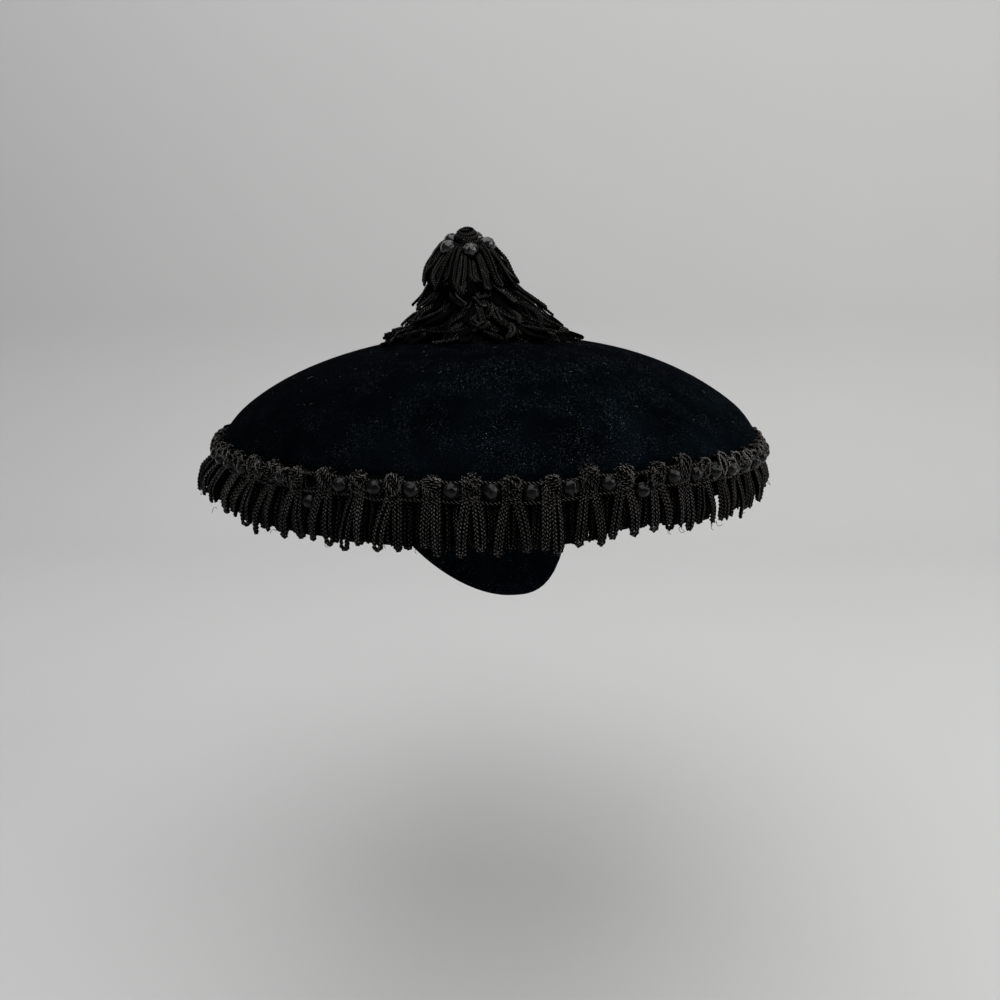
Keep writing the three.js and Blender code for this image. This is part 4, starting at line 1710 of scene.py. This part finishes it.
@dataclass
class Topknot:
    """The coil of fringe at the hat's peak, with its button and its larger beads."""

    dome: Dome  # The velvet that it stands on
    finishes: Finishes  # The hat's finishes
    tiers: tuple[Tier, ...] = TIERS  # Its rings of loops
    lean: float = -4  # How far its foot lies towards the front
    lean_more: float = -6.4  # How much further forward its top leans
    lean_between: Span = (6, 30)  # The heights over the velvet between which that grows
    slump: float = 0.364  # How much its top sinks for each millimetre towards the wearer's left
    slump_between: Span = (10, 30)  # The heights between which that grows
    clearance: float = 1.0  # How close a cord's middle comes to the velvet
    roll: float = 0.4  # How far a cord rolls about its own line, in radians
    layers: Span = (-0.7, 0.9)  # The heights at which a tassel's loops lie in turn
    stretch: Span = (-0.3, 0.06)  # How much shorter or longer a loop is, as shares
    loop_points: int = 140  # Points along a loop
    button_points: int = 900  # Points along the button's cord
    bead_tilt: float = 0.2  # How far a bead's hole turns away from the line round the button
    foot: float = 2.0  # Height of the point that the cords' faces look away from
    upwards: float = 8  # How much further up the faces look
    innermost: float = 7  # The least radius at which a bend counts as an angle
    beads: int = 5  # How many beads stand round the button
    bead_turn: float = 12  # The angle in degrees that they are turned by
    saddle: float = 5.0  # How much lower the top tier starts under a bead than between two
    # Angle in degrees and width of the place where the top tier is drawn over the beads
    cover: Span = (-104.0, 46.0)
    hollow: float = 5.0  # How much the second tier falls back on the wearer's left
    hollow_width: float = 30  # Width in degrees of that hollow
    shorter: float = 1.8  # How much shorter the lining's loops are than a tier's
    lower: float = 1.5  # How much lower they lie
    # Angle in degrees, width and distance of each place where the cords are swept sideways
    sweeps: tuple[tuple[float, float, float], ...] = ((-38, 28, -13), (40, 25, 8))
    # Radius and height of points down the wound core
    core: tuple[Span, ...] = (
        (0, 33.2), (5.6, 33.0), (6.4, 31.0), (10.0, 25.0), (16.0, 14.3), (20.0, 6.0), (20.4, 0.4), (0, 0.3),
    )
    core_rows: int = 90  # Steps down it
    core_columns: int = 40  # Steps round it
    ridge: float = 0.5  # How far a turn of the core's braid stands out
    braid: float = 2.6  # Width of that braid
    ridged: Span = (2, 33)  # The least radius and the greatest height of its ridges
    # Radius and height of the coiled button's turns
    button: tuple[Span, ...] = (
        (4.2, 34.0), (4.4, 35.8), (4.5, 37.6), (4.1, 39.2),
        (4.3, 40.6), (4.1, 42.0), (3.1, 43.3), (0.5, 43.9),
    )
    button_turns: float = 6.2  # How often its cord goes round
    button_middle: float = 38.0  # Height that the cord's face looks away from
    # Radius and height of points down what fills the button
    filling: tuple[Span, ...] = ((0, 43.6), (2.0, 43.3), (3.6, 41.8), (4.0, 38.0), (3.9, 33.6), (0, 33.5))
    unevenness: float = 0.7  # How far the button's cord strays
    bead_level: float = 37.6  # Height of the beads round the button
    bead_radius: float = 3.6  # Radius of a bead
    bead_edge: float = 0.14  # Width of its softened edges
    seed: int = 5  # Seed of the random draws
    draw: Draw = field(init=False)  # Where the random amounts come from

    def __post_init__(self) -> None:
        """Starts the random draws."""
        self.draw = np.random.default_rng(self.seed)

    def settled(self, points: Array) -> Array:
        """Stands points on the velvet.

        The lean grows smoothly between two heights over the velvet, and so does the slump, which lowers a
        point by slump times its distance to the wearer's left.

        Args:
            points: Points about an upright axis, with heights over the velvet.

        Returns:
            The points on the hat.
        """
        x, y, height = np.moveaxis(points, -1, 0)
        y = y + self.lean + self.lean_more * smoothstep(height, *self.lean_between)
        velvet = self.dome.height(x, y)
        z = velvet + height - self.slump * x * smoothstep(height, *self.slump_between)
        return np.stack([x, y, np.maximum(z, velvet + np.minimum(height, self.clearance))], axis=-1)

    def hang(self, tier: Tier) -> Array:
        """Lays the loops of a tier.

        A tassel's loops stand side by side, higher and lower in turn. Each tassel and each loop in it bends
        to one side by a random curl times its looseness to the power 1.6, is longer or shorter by a random
        share, and winds as two random sine waves do. The lower tiers are also swept to one side. The top
        tier starts lower under each bead than between two of them, by saddle times (1 + cos(beads a)) / 2.

        Args:
            tier: The tier.

        Returns:
            Lines of shape (loops, points, 3), on the hat.
        """
        count = tier.tassels * tier.loops
        tassel = np.repeat(np.arange(tier.tassels), tier.loops)
        order = np.tile(np.arange(tier.loops), tier.tassels)
        place = (order + 0.5) / tier.loops - 0.5
        layer = np.where(order % 2, self.layers[1], self.layers[0])[:, None]

        def each(spread: float, size: int = count) -> Array:
            """Returns a random amount for each loop, or one that a tassel's loops share."""
            return np.repeat(self.draw.normal(0, spread, size), count // size)[:, None]

        def winding(broad: float, fine: float) -> Array:
            """Returns half a sine wave and a whole one along the leg, each by a random amount."""
            return each(broad) * np.sin(math.pi * loose) + each(fine) * np.sin(FULL_TURN * loose)

        angle = (FULL_TURN * (tassel + place) / tier.tassels)[:, None] + each(0.02 * tier.curl)
        loose = column(tier.leg, "loose")
        radius, height = column(tier.leg, "radius"), column(tier.leg, "height")
        stretch = 1 + (self.draw.uniform(*self.stretch, (count, 1)) + each(0.05, tier.tassels)) * loose
        radius = radius[0] + (radius - radius[0]) * stretch
        height = height[0] + (height - height[0]) * stretch + layer + each(tier.rough) * loose
        degrees = in_degrees(angle)
        if tier.number == 2:
            fall = self.hollow * swell(degrees, 0, self.hollow_width)
            radius = radius - fall * loose
            height = height - fall * (1 - loose)
        if tier.number == 1:
            under = 0.5 + 0.5 * np.cos(self.beads * (angle - math.radians(self.bead_turn)))
            middle, width = self.cover
            covered = swell(in_degrees(angle - math.radians(middle)), 0, width)
            height = height - self.saddle * under * (1 - covered) * (1 - loose)
        curl = (each(tier.curl * 0.8) + each(tier.curl * 0.6, tier.tassels)) * loose**1.6
        for middle, width, amount in self.sweeps:
            curl = curl + amount * tier.sweep * swell(degrees, middle, width) * loose**1.3
        waves = winding(tier.curl * 0.2, tier.curl * 0.1)
        lift = winding(tier.rough * 0.5, 0.4)
        legs = []
        for side in (-1.0, 1.0):
            across = side * column(tier.leg, "gap") + curl + waves + each(0.35) * loose
            out = radius + each(0.5) * loose
            legs.append(np.stack([across, out, height + lift + each(0.4) * loose], axis=-1))
        knots = looped(legs, unit(legs[0][:, -1:] - legs[0][:, -2:-1]))
        turned = angle + knots[..., 0] / np.maximum(knots[..., 1], self.innermost)
        return self.settled(smooth_curve(around(turned, knots[..., 1], knots[..., 2]), self.loop_points))

    def facing(self, path: Array) -> Array:
        """Returns directions that look up and out from the topknot's foot."""
        foot = self.settled(np.array([0.0, 0.0, self.foot]))
        return unit(path - foot + [0, 0, self.upwards])

    def lining(self, tier: Tier) -> Tier:
        """Works out the calmer ring of round cords that fills a tier behind its loops.

        Args:
            tier: The tier.

        Returns:
            Its lining.
        """
        leg = tuple(
            replace(part, radius=part.radius - self.shorter * part.loose, height=part.height - self.lower)
            for part in tier.leg
        )
        return replace(tier, loops=4, leg=leg, curl=tier.curl * 0.5, rough=tier.rough * 0.5)

    def hang_tiers(self) -> None:
        """Builds each tier's loops as one piece in the place of the frame's tier, and its lining."""
        for tier in self.tiers:
            path = tier.cord.spaced(self.hang(tier))
            tint = self.draw.uniform(0, 1, len(path))
            roll = self.draw.normal(0, self.roll, len(path))
            shape = tier.cord.along(path, self.facing(path), tint, roll)
            piece = shape.build(f"topknot_loops_{tier.number}", self.finishes.topknot, Slot.CORD)
            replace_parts(piece, f"topknot_tier_{tier.number}")
            # Each lining lies behind its tier's loops and takes the painted shade cord finish
            path = ROUND_CORD.spaced(self.hang(self.lining(tier)))
            shape = ROUND_CORD.along(path, self.facing(path), np.full(len(path), 0.1))
            piece = shape.build(f"topknot_lining_{tier.number}", self.finishes.painted_shade_cord, Slot.CORD)
            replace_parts(piece, f"topknot_tier_{tier.number}")

    def coil(self, turns: Array, pitch_turns: float, count: int) -> Array:
        """Winds a line in a spiral through the radii and heights of a profile.

        Sine waves that die away towards its ends make it uneven.

        Args:
            turns: Radius and height of shape (points, 2).
            pitch_turns: How often the line goes round.
            count: Points along it.

        Returns:
            One line of shape (1, count, 3), on the hat.
        """
        share = np.linspace(0, 1, count)
        place = share * (len(turns) - 1)
        radius = np.interp(place, np.arange(len(turns)), turns[:, 0])
        height = np.interp(place, np.arange(len(turns)), turns[:, 1])
        slack = 4 * share * (1 - share)
        radius = radius + self.unevenness * slack * (np.sin(37 * share) + np.sin(61 * share + 2)) / 2
        height = height + self.unevenness * slack * np.sin(43 * share + 1)
        return self.settled(around(share * pitch_turns * FULL_TURN, radius, height))[None]

    def build_core(self) -> None:
        """Builds the wound braid inside, as a surface of revolution.

        At length s down it, each turn of the braid stands out by ridge abs(sin(pi s / braid)).
        """
        profile = np.array(self.core)
        run = run_along(profile[None])[0]
        steps = np.linspace(0, run[-1], self.core_rows)
        fine = np.stack([np.interp(steps, run, profile[:, side]) for side in (0, 1)], axis=-1)
        innermost, highest = self.ridged
        ridge = self.ridge * np.abs(np.sin(math.pi * steps / self.braid)) * (fine[:, 0] > innermost)
        fine[:, 0] += ridge * (fine[:, 1] < highest)
        fine[[0, -1], 0] = 0
        shape = revolved(fine, self.core_columns, tint=0.1)
        shape.points = self.settled(shape.points)
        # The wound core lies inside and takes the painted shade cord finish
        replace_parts(shape.build("topknot_wound_core", self.finishes.painted_shade_cord, Slot.CORD), "topknot_core")

    def build_button(self) -> None:
        """Builds the button: a plaited cord wound up in a spiral that closes over its own top."""
        path = FINE_PLAIT.spaced(self.coil(np.array(self.button), self.button_turns, self.button_points))
        axis = self.settled(np.array([[0.0, 0.0, self.button_middle]]))
        fill = revolved(np.array(self.filling), 24, tint=0.1)
        fill.points = self.settled(fill.points)
        shape = Shape.joined([FINE_PLAIT.along(path, path - axis[None], np.array([0.4])), fill])
        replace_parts(shape.build("coiled_button", self.finishes.topknot, Slot.CORD), "top_button")

    def build_beads(self) -> None:
        """Builds the larger beads round the button."""
        for name in sorted(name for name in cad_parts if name.startswith("topknot_bead_")):
            low, high = box_mm(name)
            centre = (low + high) / 2
            axis = self.settled(np.array([0.0, 0.0, self.bead_level]))
            out = unit((centre - axis) * [1, 1, 0])
            along = np.array([[-out[1], out[0], 0.0]]) + self.draw.normal(0, self.bead_tilt, (1, 3))
            bead = CutBead(self.bead_radius).placed(centre[None], along, self.draw.uniform(0, 1, 1))
            title = name.replace("topknot_bead", "top_jet")
            piece = bead.build(title, self.finishes.top_jet, Slot.JET, smooth=False)
            soften(piece, self.bead_edge)
            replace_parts(piece, name)

    def build(self) -> None:
        """Builds the whole topknot."""
        self.build_core()
        self.hang_tiers()
        self.build_button()
        self.build_beads()


# --- Lint ---


@dataclass(frozen=True)
class Lint:
    """Short dust fibres that lie on the velvet."""

    dome: Dome  # The velvet
    count: int = 110  # How many there are
    length: float = 3.0  # The longest, in millimetres
    strand: float = 0.05  # Their radius
    reach: float = 108  # How far out from the hat's axis they lie
    lift: float = 0.25  # How far over the velvet one starts
    arch: float = 0.35  # How much further it may rise
    innermost: float = 0.12  # The square of the share of their reach within which none starts
    shortest: float = 0.2  # The least share of their length that is drawn
    short: float = 1.6  # The power that the share is then raised to, so that most are short
    turning: float = 1.5  # How far one turns from end to end, in radians
    steps: int = 9  # Points along it
    seed: int = 3  # Seed of the random draws

    def build(self, material: Material) -> None:
        """Builds the fibres.

        Each starts at a random place on the dome and runs in a random heading that turns steadily, so it
        is an arc of a circle, and its height follows the velvet with a small arch of its own.

        Args:
            material: Their finish.
        """
        draw = np.random.default_rng(self.seed)
        size = (self.count, 1)
        radius = self.reach * np.sqrt(draw.uniform(self.innermost, 1, size))
        turn = draw.uniform(0, FULL_TURN, size)
        length = self.length * draw.uniform(self.shortest, 1, size) ** self.short
        share = np.linspace(0, 1, self.steps)[None, :]
        heading = draw.uniform(0, FULL_TURN, size) + draw.normal(0, self.turning, size) * share
        x = radius * np.cos(turn) + np.cumsum(np.cos(heading), axis=1) * length / self.steps
        y = radius * np.sin(turn) + np.cumsum(np.sin(heading), axis=1) * length / self.steps
        arch = self.arch * np.sin(math.pi * share) * draw.uniform(0, 1, size)
        path = np.stack([x, y, self.dome.height(x, y) + (self.strand + self.lift + arch)], axis=-1)
        thread = replace(FINE_THREAD, strand=self.strand)
        up = np.broadcast_to([0.0, 0.0, 1.0], path.shape)
        shape = thread.along(path, up, draw.uniform(0, 1, self.count))
        shape.build("velvet_lint", material, Slot.VELVET)


# --- Studio ---


@dataclass(frozen=True)
class Softbox:
    """A square area light, in metres and watts."""

    name: str
    place: tuple[float, float, float]
    size: float
    power: float
    colour: tuple[float, float, float] = (1.0, 1.0, 1.0)


@dataclass(frozen=True)
class Studio:
    """A pale floor that sweeps up behind the hat, soft lights and the camera."""

    rim: float  # Height of the hat's rim, which the camera's height is given from
    distance: float = 375  # From the hat's axis to the camera
    over_rim: float = 49.6  # The camera's height over the rim
    pitch: float = 12.5  # How far it looks down, in degrees
    focal: float = 0.85  # The lens's focal length over the width of its picture
    shift: float = 0.0087  # How much the picture is moved sideways, as a share of its width
    film: float = 36  # Width of the picture inside the camera
    floor: float = -290  # Height of the floor, as low as a standard head would stand
    floor_end: float = 1600  # How far the floor reaches behind the camera
    wall: float = -1000  # Where the wall stands
    wall_top: float = 2200  # Its height over the floor
    bend: float = 300  # Radius of the bend between the two
    half_width: float = 2600  # Half the width of both
    # The softboxes
    lights: tuple[Softbox, ...] = (
        Softbox("ceiling", (0.35, -0.1, 1.5), 2.2, 30.0),
        Softbox("window", (0.5, 1.5, 0.7), 1.2, 14.0, (1.0, 0.98, 0.95)),
    )
    daylight: float = 0.12  # Level of the light from all round
    daylight_colour: tuple[float, float, float, float] = (0.95, 0.97, 1.0, 1.0)  # Its colour

    def aim(self, thing: bpy.types.Object, target: Vector) -> None:
        """Turns a light so that it shines at a point."""
        thing.rotation_euler = (target - thing.location).to_track_quat("-Z", "Y").to_euler()

    def backdrop(self, material: Material) -> None:
        """Builds the sweep: a floor, a quarter round and a wall, carried along Y.

        Args:
            material: The paint on it.
        """
        bend = np.linspace(0, math.pi / 2, 13)
        x = np.concatenate([[self.floor_end], self.wall + self.bend - self.bend * np.sin(bend), [self.wall]])
        z = np.concatenate([[0], self.bend * (1 - np.cos(bend)), [self.wall_top]]) + self.floor
        y = np.linspace(-self.half_width, self.half_width, 3)
        points = np.stack(np.broadcast_arrays(x[None, :], y[:, None], z[None, :]), axis=-1)
        shape = sheet(points, wrap=False)
        mesh = bpy.data.meshes.new("pale_sweep")
        mesh.from_pydata((shape.points * MM).tolist(), [], shape.faces[0].tolist())
        mesh.polygons.foreach_set("use_smooth", np.ones(len(mesh.polygons), bool))
        mesh.materials.append(material)
        sweep = bpy.data.objects.new("pale_sweep", mesh)
        bpy.context.scene.collection.objects.link(sweep)

    def build(self, material: Material) -> None:
        """Builds the sweep, the lights and the camera.

        Args:
            material: The paint on the sweep.
        """
        self.backdrop(material)
        target = Vector((0, 0, self.rim * MM))
        for softbox in self.lights:
            light = bpy.data.lights.new(softbox.name, "AREA")
            light.energy = softbox.power
            light.size = softbox.size
            light.color = softbox.colour
            lamp = bpy.data.objects.new(softbox.name, light)
            lamp.location = softbox.place
            bpy.context.scene.collection.objects.link(lamp)
            self.aim(lamp, target)
        world = bpy.data.worlds.new("daylight")
        world.use_nodes = True
        background = world.node_tree.nodes["Background"]
        background.inputs["Color"].default_value = self.daylight_colour
        background.inputs["Strength"].default_value = self.daylight
        scene = bpy.context.scene
        scene.world = world
        scene.view_settings.view_transform = "Standard"
        lens = bpy.data.cameras.new("camera")
        lens.sensor_width = self.film
        lens.lens = self.focal * lens.sensor_width
        lens.shift_x = self.shift
        camera = bpy.data.objects.new("camera", lens)
        camera.location = (self.distance * MM, 0, (self.rim + self.over_rim) * MM)
        camera.rotation_euler = (math.radians(90 - self.pitch), 0, math.radians(90))
        scene.collection.objects.link(camera)
        scene.camera = camera


def main() -> None:
    """Builds the hat's sub-assemblies and the studio in order."""
    logging.basicConfig(level=logging.INFO, format="%(name)s %(message)s")
    low, high = box_mm("crown")
    dome = Dome(radius=float(high[0]), top=float(high[2]))
    finishes = Finishes()
    Crown(dome, low=float(low[2])).build(finishes.velvet)
    InnerCap().build(finishes.velvet)
    RimTrim(dome, finishes).build()
    Topknot(dome, finishes).build()
    Lint(dome).build(finishes.lint)
    Studio(rim=dome.rim).build(finishes.paint)


if __name__ == "__main__":
    main()
